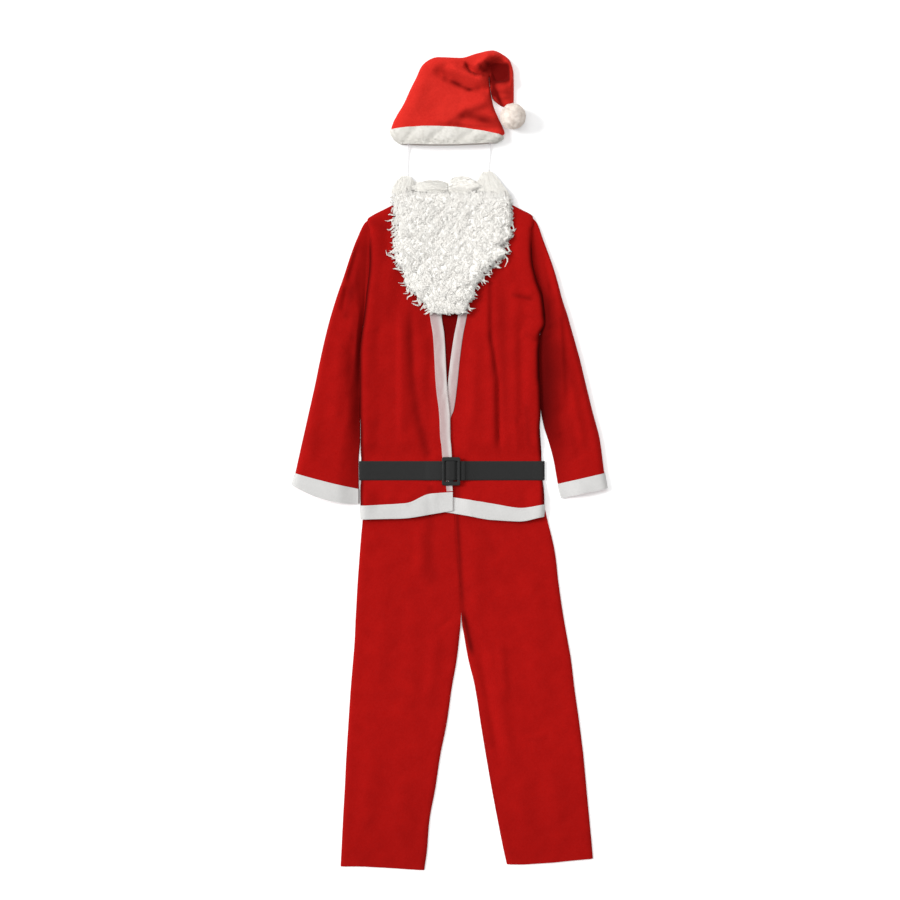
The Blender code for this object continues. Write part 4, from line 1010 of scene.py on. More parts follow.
@dataclass(frozen=True)
class Front:
    """One front of the jacket, its centre band and its hem band.

    The side seam's ridge, the puff between and the folds are added up and
    pressed flat at the edges, under the belt and under the beard.
    """

    side: str
    rows: tuple[Row, ...]
    band: tuple[float, ...]
    folds: tuple[Fold, ...]
    underarm: float
    lifted: bool
    seed: float
    cut: tuple[float, float] = (0.30, 0.80)
    pitch: float = 4.5
    across: int = 46
    puff: float = 7.0
    ridge: float = 6.5
    shades: tuple[Fold, ...] = ()
    flat: float = 32.0
    armhole: float = 4.0
    overlap: float = 4.0
    roll: float = 2.6
    corner: float = 5.0
    tip: tuple[float, float, float] = (345.0, 0.0, 14.0)
    side_round: float = 12.0
    top_round: float = 14.0
    side_painted_shade: tuple[float, float] = (0.95, 11.0)
    # The band's painted highlight: its share at the inner edge, and its streaks.
    wear_and_highlight: tuple[float, float] = (0.85, 0.2)

    def surface(self) -> tuple[Grid, Grid, int]:
        """The front's lower grid, its painted shade, and the column where its centre band starts."""
        panel = Panel(self.rows)
        places = panel.places(self.pitch)
        hem = len(self.rows) - 2.0
        places = np.concatenate([places[places < hem - 1e-6], hem + BAND_PLACES])
        a_x, _, b_x, b_y = panel.lines(places)[:4]
        width = np.abs(b_x - a_x)[:, None]
        band = 1.0 - smooth_line(BAND_YS, self.band, b_y)[:, None] / width
        body = np.linspace(0.0, 1.0, self.across) ** 1.25
        columns = np.concatenate([band * body[:-1], band + (1.0 - band) * BAND_PLACES], axis=1)
        x, y, u = panel.grid(places, columns)
        lower = stack(x, y, self.height(x, y, u * width, (1.0 - u) * width))
        # Painted shade: the listed shades, and a dark strip along the side seam below the shoulder.
        share, reach = self.side_painted_shade
        painted_shading = fold_height(x, y, self.shades)
        painted_shading = painted_shading + share * (1.0 - ease(u * width / reach)) * ramp(y, 575.0, 515.0)
        return self.rolled_edge(lower, u * width), painted_shading, self.across - 1

    def rolled_edge(self, lower: Grid, from_side: Grid) -> Grid:
        """The side seam rolls out over the sleeve, and its corner reaches to the shoulder.

        Under the arm it comes to a blunt tip: its height on the seam, reach and size.
        """
        y = lower[..., 1]
        clear = ease((lower[..., 2] - under_jacket(y) - FELT - LAY - 1.0) / 2.4)
        seam = 1.0 - ramp(from_side, 5.0, 20.0)
        where, reach, size = self.tip
        roll = self.roll * clear * seam * ramp(y, 60.0, 120.0)
        roll = roll + reach * seam * np.exp(-((y - where) / size) ** 2)
        corner = self.corner * ramp(y, 574.0, 588.0) * (1.0 - ramp(from_side, 0.0, 34.0))
        outward = np.sign(self.rows[0].a_x)
        return lower + stack((roll + corner) * outward, 0.0 * y, 0.0 * y)

    def height(self, x: Grid, y: Grid, from_side: Grid, from_centre: Grid) -> Grid:
        """The height of the front's lower face at x, y."""
        from_top = np.abs(y[0:1] - y)
        edge = quarter_round(from_side, self.side_round) * quarter_round(from_top, self.top_round)
        hem = 1.0 - 0.6 * ramp(y, -90.0, -140.0)
        ridge = self.ridge * (1.0 - ramp(from_side, 12.0, 46.0)) * ramp(y, 615.0, 555.0)
        rise = self.puff * ramp(from_centre, self.flat, self.flat + 42.0) + ridge * hem
        rise = rise + fold_height(x, y, self.folds)
        rise = rise + hand_creases(x, y, self.seed) * ramp(from_centre, 8.0, 48.0)
        press = 1.0 - 0.62 * ramp(y, 340.0, 400.0) * ramp(from_side, 55.0, 85.0)
        rise = np.maximum(rise * edge * belt_press(y) * press, 0.0)
        arm = self.armhole * ramp(y, self.underarm - 22.0, self.underarm - 2.0)
        arm = arm * ramp(from_top, 0.0, 10.0)
        rise = np.maximum(rise, arm * (1.0 - ramp(from_side, 36.0, 58.0)))
        if self.lifted:
            rise = rise + self.overlap * ramp(x, -54.0, -32.0) * ramp(y, 262.0, 217.0)
        rise = rise + LAY * ramp(y, 550.0, 580.0)
        return under_jacket(y) + FELT + LAY + rise

    def build(self, wardrobe: Wardrobe) -> list[tuple[Grid, Grid]]:
        """Builds the front and its bands, and gives back their stitch lines."""
        lower, painted_shading, start = self.surface()
        upper = lower + normals_of(lower) * FELT
        front = wardrobe.red.dress(shell("jacket_front_" + self.side, lower, upper))
        # Painted shade in the front's creases and along its side.
        paint_shading(front, painted_shading)
        hem_row = len(lower) - len(BAND_PLACES)
        strip = upper[:hem_row, start:]
        centre_band, centre = band_on("front_trim_" + self.side, strip, 1, wardrobe.front)
        # Painted highlight along the band's inner edge, broken by random streaks.
        wear_and_highlight = self.wear_and_highlight[0] * ramp(BAND_PLACES[None, :], 0.45, 0.9)
        streaks = self.wear_and_highlight[1] * unevenness(strip[..., 0], strip[..., 1] / 4.0, 14.0)
        paint_shading(centre_band, wear_and_highlight + streaks)
        hem_band, hem = band_on("hem_trim_" + self.side, upper[hem_row:], 0, wardrobe.white)
        cloth_area(upper)
        return centre + hem


@dataclass(frozen=True)
class Sleeve:
    """A one-piece sleeve pressed flat, with a band round its cuff."""

    side: str
    stations: tuple[Station, ...]
    folds: tuple[Fold, ...]
    seed: float
    cut: tuple[float, float] = (0.43, 0.60)
    shades: tuple[Fold, ...] = ()
    shadows: tuple[Shadow, ...] = ()
    body: tuple[Row, ...] = ()
    fullness: float = 15.0
    valley: float = 58.0
    gap: float = 0.9
    pitch: float = 5.2
    across: int = 40

    def height(self, x: Grid, y: Grid, near_a: Grid, near_b: Grid, full: Grid) -> Grid:
        """Low along the body, full in the middle, rounded along the outer edge."""
        slope = ease(near_a / self.valley)
        rise = self.fullness * slope + fold_height(x, y, self.folds)
        rise = rise + 1.3 * hand_creases(x, y, self.seed)
        return EDGE + np.maximum(rise * quarter_round(near_b, 17.0) * full, 0.0)

    def beside_body(self, x: Grid, y: Grid) -> Grid:
        """The painted shadow that runs down beside the body, by the distance from the body's edge."""
        edge = np.array(self.body)[::-1, :2]
        beyond = np.abs(x) - np.interp(y, edge[:, 1], np.abs(edge[:, 0]))
        table = np.array(self.shadows)
        share, start, reach = (np.interp(y, table[:, 0], table[:, k]) for k in (1, 2, 3))
        return share * (1.0 - ease((beyond - start) / (reach - start)))

    def build(self, wardrobe: Wardrobe) -> list[tuple[Grid, Grid]]:
        """Builds the sleeve and its cuff band, and gives back the band's stitch lines."""
        tube = FlatTube(self.stations)
        outer, inner, cloth = tube.rings(self.pitch, self.across, self.height)
        body = wardrobe.red.dress(tube_shell("sleeve_" + self.side, outer, inner, cloth))
        # Painted shade in the sleeve's creases and painted shadow beside the body.
        paint_shading(body, fold_height(outer[..., 0], outer[..., 1], self.shades)
                     + self.beside_body(outer[..., 0], outer[..., 1]))
        rings = tube.ring_at(len(self.stations) - 2, self.pitch)
        under = outer[rings:]
        out = ring_normals(under)
        share = np.linspace(0.0, 1.0, len(under))
        lift = np.interp(share, BAND_PLACES, BAND_LIFT)[:, None, None]
        top = under + out * (self.gap + TRIM * lift)
        band = wardrobe.white.dress(tube_shell("cuff_trim_" + self.side, top,
                                               under + out * self.gap, cloth[rings:]))
        cloth_area(outer)
        return [(top[k, :self.across], out[k, :self.across]) for k in (1, len(under) - 2)]


def ring_normals(rings: Grid) -> Grid:
    """Outward normals of a grid of rings, away from each ring's middle."""
    around = np.roll(rings, -1, axis=1) - np.roll(rings, 1, axis=1)
    normal = unit(np.cross(around, np.gradient(rings, axis=0)))
    away = rings - rings.mean(axis=1, keepdims=True)
    away[..., 2] *= 12.0
    return normal * np.where((normal * away).sum() < 0, -1.0, 1.0)


class Jacket:
    """Back, two fronts, two sleeves and their white bands."""

    def __init__(self) -> None:
        """Sets out the fronts and the sleeves."""
        self.fronts = (
            Front("right", FRONT_RIGHT_ROWS, (13.0, 16.0, 24.0, 29.0, 30.0), FRONT_RIGHT_FOLDS,
                  345.0, True, 0.3, shades=FRONT_RIGHT_SHADES),
            Front("left", FRONT_LEFT_ROWS, (24.0, 24.0, 27.0, 22.0, 28.0), FRONT_LEFT_FOLDS,
                  372.0, False, 2.2, shades=FRONT_LEFT_SHADES, roll=5.0, tip=(334.0, 5.5, 15.0)),
        )
        self.sleeves = (
            Sleeve("right", SLEEVE_RIGHT_STATIONS, SLEEVE_RIGHT_FOLDS, 1.1,
                   shades=SLEEVE_RIGHT_SHADES, shadows=SLEEVE_RIGHT_SHADOWS,
                   body=FRONT_RIGHT_ROWS),
            Sleeve("left", SLEEVE_LEFT_STATIONS, SLEEVE_LEFT_FOLDS, 3.4,
                   shades=SLEEVE_LEFT_SHADES, shadows=SLEEVE_LEFT_SHADOWS,
                   body=FRONT_LEFT_ROWS),
        )

    NECK_COLUMNS = slice(15, 46)

    def back(self, wardrobe: Wardrobe) -> None:
        """The back, flat on the floor, the belt and the trousers, with its bands below."""
        panel = Panel(BACK_ROWS, straight_bow=True)
        places = panel.places(7.0)
        x, y, _ = panel.grid(places, np.linspace(0.0, 1.0, 61))
        lower = stack(x, y, under_jacket(y))
        upper = lower + np.array((0.0, 0.0, FELT))
        # Its inside face has the darker copy of the red felt: painted shade.
        back = wardrobe.inside.dress(shell("jacket_back", lower, upper))
        drop = np.array((0.0, 0.0, 1.0))
        hem = places >= len(BACK_ROWS) - 2
        neck = places <= 1
        for name, block in (("neck_trim_back", lower[neck][:, self.NECK_COLUMNS]),
                            ("hem_trim_back", lower[hem])):
            under = block - drop * (SEAM + TRIM)
            wardrobe.white.dress(shell(name, under, block - drop * SEAM))
        cloth_area(upper)

    def build(self, wardrobe: Wardrobe) -> None:
        """Builds every piece of the jacket."""
        self.back(wardrobe)
        lines = []
        for part in (*self.fronts, *self.sleeves):
            lines += part.build(wardrobe)
        wardrobe.thread.dress(stitch_row("jacket_stitches", lines), stands_in=False)


# ================================================================= the trousers
TROUSER_RIGHT_ROWS = entries(
    Row,
    (-214, -93.3, 11, -93.3), (-218, -160, 13, -160), (-224, -240, 20, -240),
    (-229, -310, 26, -310), (-233, -380, 29, -381), (-234, -396, 28.4, -396),
    (-236, -446, 24, -441), (-240, -500, 18, -495), (-246, -570, 5, -570), (-252, -660, -8, -660),
    (-257, -740, -24, -740), (-261, -820, -36, -820), (-266, -910, -52, -910),
    (-269, -970, -57, -975), (-271.5, -1018, -64, -1027, 2.5, 2, 1),
)
TROUSER_LEFT_ROWS = entries(
    Row,
    (232, -93.3, 11.4, -93.3), (247, -160, 13.4, -160), (264, -240, 20.4, -240),
    (272, -310, 26.4, -310), (282, -380, 29.5, -380), (284.5, -395, 30, -395),
    (293.5, -446, 37, -438), (303, -500, 47, -495), (311.5, -570, 64, -565), (324, -660, 79, -660),
    (334, -740, 93, -745), (341.5, -820, 106, -820), (350, -910, 124, -915),
    (355, -963, 135, -970), (358, -998.5, 144.5, -1012.5, -1, -3, -3),
)
TROUSER_RIGHT_FOLDS = entries(
    Fold,
    (-72, -140, -76, -310, 14, 3.2, 0.4), (-80, -330, -110, -700, 26, 3.4),
    (-160, -200, -180, -620, 30, 3), (-25, -400, -60, -640, 16, 3.4),
    (-190, -700, -215, -960, 24, 3.2), (-110, -760, -130, -990, 26, 3.2),
    (-47, -150, -46, -300, 12, -2), (14, -392, -40, -430, 7, -1.6),
)
TROUSER_LEFT_FOLDS = entries(
    Fold,
    (126, -440, 140, -610, 12, 4.2), (60, -160, 70, -420, 20, 3.2),
    (70, -440, 130, -780, 13, -4.2), (95, -430, 160, -800, 17, 3.6),
    (200, -240, 235, -640, 28, 3.2), (176, -697, 250, -692, 7, 2.2),
    (250, -720, 280, -960, 24, 3.2), (175, -760, 200, -980, 24, 3), (36, -396, 78, -440, 7, -1.6),
    (246, -300, 274, -330, 8, 1.2),
)
# Painted shade along the centre seam, the inner legs and the creases.
TROUSER_RIGHT_SHADES = entries(
    Fold,
    (9, -20, 33, -430, 4.5, 0.3), (-54, -80, -40, -340, 13, 0.16),
    (-20, -980, -40, -1040, 40, 0.1),
)
TROUSER_LEFT_SHADES = entries(
    Fold,
    (13, -20, 35, -430, 6, 0.5), (31, -368, 60, -500, 7, 0.75), (50, -480, 146, -1060, 6, 0.25),
    (70, -160, 120, -260, 14, 0.1),
)
WAISTBAND_STATIONS = entries(
    Station,
    (-213, -58, 230, -58, 0, 0), (-213.5, -93, 231.5, -93, 0, 0),
)


@dataclass(frozen=True)
class Leg:
    """A front and a back of one side of the trousers."""

    side: str
    rows: tuple[Row, ...]
    folds: tuple[Fold, ...]
    seed: float
    cut: tuple[float, float] = (0.30, 0.96)
    pitch: float = 5.0
    across: int = 46
    puff: float = 4.6
    shades: tuple[Fold, ...] = ()
    crotch: float = -394.0
    edge_round: float = 14.0
    seam: tuple[float, float] = (0.9, 2.6)
    back_lap: float = 3.5
    shin_shade: float = 0.13

    def build(self, wardrobe: Wardrobe) -> None:
        """Builds the front as a puffed panel and the back flat on the surface."""
        panel = Panel(self.rows)
        places = panel.places(self.pitch)
        x, y, u = panel.grid(places, crowded(self.across, 0.5))
        width = np.hypot(x[:, -1] - x[:, 0], y[:, -1] - y[:, 0])[:, None]
        outside = quarter_round(u * width, self.edge_round)
        inside = quarter_round((1.0 - u) * width, self.edge_round)
        inside = inside + (1.0 - inside) * ramp(y, self.crotch - 40.0, self.crotch)
        clear = ramp(y, -150.0, -210.0)
        body = self.puff + fold_height(x, y, self.folds) + 1.2 * hand_creases(x, y, self.seed)
        rise = np.maximum(body, 0.0) * outside * inside * clear
        deep, wide = self.seam
        groove = deep * np.exp(-((1.0 - u) * width / wide) ** 2)
        groove = groove * ramp(y, self.crotch, self.crotch + 20.0)
        rise = np.maximum(rise - groove * clear, 0.0)
        lower = stack(x, y, FELT + SEAM + rise)
        upper = lower + normals_of(lower) * np.where(clear > 0.05, FELT, FELT * 0.98)[..., None]
        front = wardrobe.red.dress(shell("trouser_front_" + self.side, lower, upper))
        # Painted shade: the listed shades, and the lower legs darker towards the hems.
        shin = self.shin_shade * ramp(y, -620.0, -1000.0)
        paint_shading(front, fold_height(x, y, self.shades) + shin)
        x, y, u = panel.grid(panel.places(14.0), np.linspace(0.0, 1.0, 24))
        lap = ramp(y, self.crotch + 10.0, self.crotch + 40.0) * ramp(y, -96.0, -126.0)
        x = x + self.back_lap * u**8 * lap
        under, over = stack(x, y, 0.0), stack(x, y, FELT)
        back = wardrobe.red.dress(shell("trouser_back_" + self.side, under, over))
        cloth_area(upper)
        cloth_area(over)


class Trousers:
    """Two legs and the elastic casing at the waist."""

    def __init__(self) -> None:
        """Sets out the legs."""
        self.legs = (Leg("right", TROUSER_RIGHT_ROWS, TROUSER_RIGHT_FOLDS, 4.1,
                         shades=TROUSER_RIGHT_SHADES),
                     Leg("left", TROUSER_LEFT_ROWS, TROUSER_LEFT_FOLDS, 5.7, cut=(0.27, 0.96),
                         shades=TROUSER_LEFT_SHADES))

    def build(self, wardrobe: Wardrobe) -> None:
        """Builds the legs and the waistband, which is gathered by a hair's breadth."""
        for leg in self.legs:
            leg.build(wardrobe)
        outer, inner, cloth = FlatTube(WAISTBAND_STATIONS).rings(
            5.0, 70, lambda x, *_: np.full(x.shape, EDGE - 0.2))
        band = wardrobe.red.dress(tube_shell("waistband", outer, inner, cloth))
        cloth_area(outer)


# ============================================================== belt and buckle
STRAP_MIDDLE = 14.2
BUCKLE_X = 4.0
BUCKLE_BAR = (11.0, 1.8)
BUCKLE_WINDOW = (32.0, 51.0)


def rounded_rectangle(width: float, height: float, radius: float, corner: int = 6) -> Grid:
    """A loop of points round a rectangle with rounded corners, centred on 0, 0."""
    turn = np.linspace(0.0, math.pi / 2, corner)
    loop = []
    for quarter, (sx, sy) in enumerate(((1, 1), (-1, 1), (-1, -1), (1, -1))):
        angle = turn + quarter * math.pi / 2
        loop.append(np.stack([sx * (width / 2 - radius) + radius * np.cos(angle),
                              sy * (height / 2 - radius) + radius * np.sin(angle)], axis=1))
    return np.concatenate(loop)


@dataclass(frozen=True)
class Buckle:
    """A moulded slide buckle: a rounded frame and the bar across its window."""

    x: float = BUCKLE_X
    y: float = -29.5
    size: tuple[float, float] = (46.0, 71.0)
    depth: float = 4.0

    def build(self, wardrobe: Wardrobe) -> None:
        """Carries the frame's rounded section round its loop, and lays the bar across."""
        base = STRAP_MIDDLE + WEBBING / 2 + SEAM
        outer = rounded_rectangle(*self.size, 5.0)
        inner = rounded_rectangle(*BUCKLE_WINDOW, 2.0)
        section = rounded_rectangle(1.0, 1.0, 0.28, 4)
        share = (section[:, 0] + 0.5)[None, :, None]
        loop = inner[:, None, :] + (outer - inner)[:, None, :] * share
        z = np.broadcast_to(base + (section[:, 1] + 0.5)[None, :] * self.depth, loop.shape[:2])
        points = stack(loop[..., 0] + self.x, loop[..., 1] + self.y, z)
        faces = [ring_faces(*points.shape[:2], closed=True)]
        width, thick = BUCKLE_BAR
        rib = rounded_rectangle(width, thick, 0.8, 4)
        reach = BUCKLE_WINDOW[1] / 2 + 1.0
        y = np.array((-reach, reach))[:, None] + self.y
        bar = stack(rib[None, :, 0] + self.x, y, rib[None, :, 1] + base + thick / 2)
        faces += rod_faces(*bar.shape[:2], points.shape[0] * points.shape[1])
        whole = np.concatenate([points.reshape(-1, 3), bar.reshape(-1, 3)])
        wardrobe.plastic.dress(mesh_object("buckle", whole, faces, sharp=35.0))


@dataclass(frozen=True)
class Belt:
    """One loop of webbing, over the jacket and under it, and over the buckle's bar."""

    half_buckle: float = 23.0
    pitch: float = 2.5
    end_x: tuple[float, float] = (28.2, 38.5)
    end_thick: float = 1.5
    end_length: float = 12.0

    def path(self) -> Grid:
        """x and z of the webbing's middle line, all the way round."""
        over = STRAP_MIDDLE
        slot = BUCKLE_WINDOW[0] / 2 - 0.8
        bar = over + WEBBING + SEAM + BUCKLE_BAR[1] + 0.6
        left, right = BUCKLE_X - slot, BUCKLE_X + slot
        route = np.array((
            (-225.4, 3.2), (-224.6, 6.2), (-221.5, 7.6), (-212, 7.6), (-196, 6.9),
            (-150, 6.7), (-100, 7), (-64, 8.2), (-48, 11.6), (-34, 13.4),
            (BUCKLE_X - self.half_buckle - 6, over), (left, over), (left + 4.2, over + 2.4),
            (BUCKLE_X - 7.5, bar), (BUCKLE_X, bar + 0.2), (BUCKLE_X + 7.5, bar),
            (right - 4.2, over + 2.4), (right, over),
            (BUCKLE_X + self.half_buckle + 6, over - 0.3), (50, 10), (75, 7.8),
            (110, 6.9), (160, 6.7), (206, 6.9), (222, 7.6), (232, 7.6), (236.4, 6),
            (237.2, 3.2), (235.4, 0.9), (180, 0.9), (60, 0.9), (-60, 0.9), (-170, 0.9),
            (-223.6, 0.9), (-225.4, 3.2),
        ))
        knots = distances(route)
        at = spread(knots, [max(2, round(gap / self.pitch)) for gap in np.diff(knots)])[:-1]
        return np.stack([np.interp(at, knots, route[:, 0]), smooth_line(knots, route[:, 1], at)], axis=1)

    def section(self) -> Grid:
        """The webbing's cross-section: y across it and the share of its half thickness."""
        across = np.concatenate([[-1.0], np.linspace(-0.965, 0.965, 11), [1.0]])
        top = np.stack([across * BELT_WIDTH / 2, np.where(np.abs(across) > 0.97, 0.25, 1.0)], axis=1)
        return np.concatenate([top, top[::-1] * (1.0, -1.0)])

    def build(self, wardrobe: Wardrobe) -> None:
        """Carries the section round the path, then lays the strap's folded end on it."""
        path = self.path()
        along = unit(np.roll(path, -1, axis=0) - np.roll(path, 1, axis=0))
        out = np.stack([-along[:, 1], along[:, 0]], axis=1)
        section = self.section()
        xz = path[:, None, :] + out[:, None, :] * section[None, :, 1:2] * WEBBING / 2
        y = np.broadcast_to(BELT_Y + section[None, :, 0], xz.shape[:2])
        points = stack(xz[..., 0], y, np.maximum(xz[..., 1], 0.0))
        walk = distances(path)
        cloth = stack(walk[:, None], y, 0.0)[..., :2] * MM
        belt = wardrobe.web.dress(mesh_object(
            "belt", points, [ring_faces(*points.shape[:2], closed=True)], cloth))
        end = self.folded_end(path, out, wardrobe)

    def folded_end(self, path: Grid, out: Grid, wardrobe: Wardrobe) -> Piece:
        """The strap's end, folded back and sewn down just beyond the buckle."""
        on_top = np.arange(len(path)) < len(path) * 0.6
        chosen = np.flatnonzero(on_top & (path[:, 0] > self.end_x[0]) & (path[:, 0] < self.end_x[1]))
        line = path[chosen] + out[chosen] * (WEBBING / 2 + 0.12)
        across = np.linspace(-1.0, 1.0, 15)[None, :] * (BELT_WIDTH / 2 - 0.6) + BELT_Y
        lower = stack(line[:, None, 0], across, line[:, None, 1])
        upper = lower + stack(out[chosen, None, 0], 0.0, out[chosen, None, 1]) * self.end_thick
        return wardrobe.web.dress(shell("belt_end", lower, upper), stands_in=False)


# ====================================================================== the hat
HAT_STATIONS = entries(
    Station,
    (-128, 795, 117, 796, 3.4, 0.8), (-140, 812, 125, 803, 3.4, 0.9), (-145.5, 826, 138, 816, 3.4),
    (-141.5, 841, 132.5, 832, 3.4, 1, 3), (-133.5, 858, 122, 855), (-114, 891, 111, 881),
    (-99, 924, 105.5, 904), (-84, 954, 101.8, 924), (-66, 989, 100, 936), (-30, 1007, 99.4, 944),
    (26, 1005, 99, 951), (71, 1017, 99.3, 956), (108, 1024, 99.6, 956.4), (134, 1013, 99.2, 952),
    (152, 996, 99.5, 946), (160, 968, 100.2, 937), (161, 936, 102.4, 922),
    (161, 908, 107.4, 903, 0, 0.9), (160, 889, 127, 885, 1.5, 0.7),
    (158.5, 880, 139, 878.5, 7, 0.3), (158.5, 867, 147.5, 867, 21.5, 0),
)
HAT_FOLDS = entries(
    Fold,
    (-44, 975, 56, 924, 12, -12), (32, 930, 108, 921, 11, -11), (-14, 984, 100, 938, 12, 9),
    (34, 985, 80, 957, 8, -9), (-60, 985, 96, 1014, 14, 5), (108, 1024, 62, 966, 11, 12),
    (100, 1018, 156, 985, 8, 9), (152, 1000, 157, 926, 7, 12), (101, 1003, 134, 940, 20, -20),
    (124, 1008, 140, 940, 16, -16), (134, 934, 140, 896, 14, 4), (15, 852, 118, 838, 13, -6),
    (20, 870, 105, 895, 16, 4), (-95, 860, -60, 960, 20, 3.5), (-20, 900, 30, 894, 9, 1.6),
    (-60, 872, -20, 880, 8, -1.4), (60, 846, 132, 828, 6, -3),
)
# Painted shade in the pit under the folded tail and along the folds.
HAT_SHADES = entries(
    Fold,
    (36, 996, 54, 960, 4, 0.8), (50, 968, 96, 956, 5, 0.6), (-16, 980, -12, 936, 6, 0.3),
    (-22, 964, 34, 930, 9, 0.3), (-4, 950, 62, 918, 7, 0.62), (40, 924, 82, 928, 6, 0.5),
    (106, 1003, 118, 932, 14, 0.95), (128, 1003, 130, 930, 16, 0.95),
    (144, 996, 147, 934, 10, 0.9, -0.4), (68, 990, 88, 962, 9, 0.75), (94, 998, 92, 958, 8, 0.6),
    (104, 966, 114, 900, 8, 0.85), (110, 926, 138, 868, 6, 0.85), (116, 918, 158, 914, 5, 0.2),
    (120, 944, 132, 886, 26, 0.22), (102, 888, 36, 862, 9, 0.42), (14, 862, 142, 842, 10, 0.55),
    (-14, 830, 52, 878, 7, 0.4), (-40, 836, 44, 836, 6, 0.3), (100, 930, 114, 862, 8, 0.3),
    (40, 862, 12, 834, 6, 0.28), (64, 851, 142, 825, 8, 0.4), (-6, 834, 132, 828, 5, 0.3),
)
BRIM_STATIONS = entries(
    Station,
    (-125, 788, 118, 791, 0, 0, -4), (-141.5, 802, 130.5, 797.5, 0, 0),
    (-149, 816, 136, 803, 0, 0, 8), (-149.5, 823.5, 136.5, 807.5, 0, 0, 14.5),
)
BRIM_FOLDS = entries(
    Fold,
    (-124, 784, -72, 836, 9, -3.4), (-62, 782, -4, 834, 9, -3), (6, 784, 82, 834, 10, -3.2),
    (58, 784, 124, 818, 8, -2.6), (-90, 790, -40, 830, 9, 1.4), (-24, 788, 30, 830, 10, 1.2),
)


class Hat:
    """The felt cone with its folded-over tail, the plush brim and the pompom."""

    FULLNESS = 17.0
    PAINTED_SHADE_SHARE = 0.92
    BRIM_ACROSS = 130
    BRIM_CUT = (0.57, 0.045)

    def height(self, x: Grid, y: Grid, near_a: Grid, near_b: Grid, full: Grid) -> Grid:
        """Two rounded edges with the folds between them."""
        rise = self.FULLNESS * quarter_round(near_a, 36.0) * quarter_round(near_b + 2.0, 26.0)
        rise = (rise + fold_height(x, y, HAT_FOLDS)) * quarter_round(near_a, 7.0)
        rise = (rise + 1.2 * hand_creases(x, y, 0.9)) * quarter_round(near_b + 1.0, 9.0)
        return EDGE + np.maximum(rise * full, 0.0)

    def brim_height(self, x: Grid, y: Grid, near_a: Grid, near_b: Grid, full: Grid) -> Grid:
        """The brim lies round the cone, with soft diagonal creases and a lumpy pile."""
        cone = self.height(x, y, near_a - 3.6, near_b - 3.6, 1.0)
        pile = 0.5 * unevenness(x, y, 23.0, 0.7) + 0.16 * unevenness(x, y, 9.0, 1.9)
        return 3.4 + cone + 2.0 + PLUSH + fold_height(x, y, BRIM_FOLDS) + pile

    def cone(self, wardrobe: Wardrobe) -> None:
        """The red cone."""
        outer, inner, cloth = FlatTube(HAT_STATIONS).rings(3.8, 58, self.height)
        cone = wardrobe.hat.dress(tube_shell("hat_cone", outer, inner, cloth))
        shades = fold_height(outer[..., 0], outer[..., 1], HAT_SHADES)
        # Painted shade on the cone.
        paint_shading(cone, self.PAINTED_SHADE_SHARE * np.minimum(shades, 1.0))
        cloth_area(outer)

    def brim(self, wardrobe: Wardrobe) -> None:
        """The plush band and the short pile that stands off it."""
        outer, inner, cloth = FlatTube(BRIM_STATIONS, PLUSH).rings(2.2, self.BRIM_ACROSS,
                                                                   self.brim_height)
        brim = wardrobe.plush.dress(tube_shell("hat_brim", outer, inner, cloth))
        pile = pile_on("brim_pile", outer[:, :self.BRIM_ACROSS], count=4600, length=3.2,
                       radius=0.28, seed=11)
        wardrobe.plush.dress(pile, stands_in=False)
        min(cloth_area(outer), math.prod(self.BRIM_CUT))

    def build(self, wardrobe: Wardrobe) -> None:
        """Builds the cone, the brim and the pompom."""
        self.cone(wardrobe)
        self.brim(wardrobe)
        Pompom().build(wardrobe)


def pile_on(name: str, surface: Grid, count: int, length: float, radius: float, seed: int) -> Piece:
    """Short bent fibres scattered over a surface, leaning all ways.

    Args:
        name: The piece's name.
        surface: A grid of points.
        count: How many fibres.
        length: A fibre's length in millimetres.
        radius: Its root's radius.
        seed: Chooses where they stand.

    Returns:
        The linked object.
    """
    chance = np.random.default_rng(seed)
    rows, columns = surface.shape[:2]
    row = chance.uniform(0.0, rows - 1.01, count)
    column = chance.uniform(0.0, columns - 1.01, count)
    root = read_grid(surface, row, column)
    normal = read_grid(normals_of(surface), row, column)
    lean = chance.normal(0.0, 0.75, (count, 3))
    way = unit(normal + lean * (1.0, 1.0, 0.35))
    share = np.linspace(0.0, 1.0, 3)[None, :, None]
    reach = length * chance.uniform(0.6, 1.15, (count, 1, 1))
    bend = chance.normal(0.0, 0.28, (count, 1, 3))
    lines = root[:, None, :] - normal[:, None, :] * 0.4
    lines = lines + (way[:, None, :] * share + bend * share**2) * reach
    radii = radius * np.linspace(1.0, 0.25, 3)[None, :] * np.ones((count, 1))
    return carried_tubes(name, lines, radii)


def read_grid(grid: Grid, row: Grid, column: Grid) -> Grid:
    """A grid's values between its points, blended from the four corners round each place."""
    r, c = row.astype(int), column.astype(int)
    a, b = (row - r)[:, None], (column - c)[:, None]
    return ((grid[r, c] * (1 - a) + grid[r + 1, c] * a) * (1 - b)
            + (grid[r, c + 1] * (1 - a) + grid[r + 1, c + 1] * a) * b)


def outward(polar: Grid, turn: Grid) -> Grid:
    """Unit directions, by their angle from straight up and their turn from +X."""
    return stack(np.sin(polar) * np.cos(turn), np.sin(polar) * np.sin(turn), np.cos(polar))


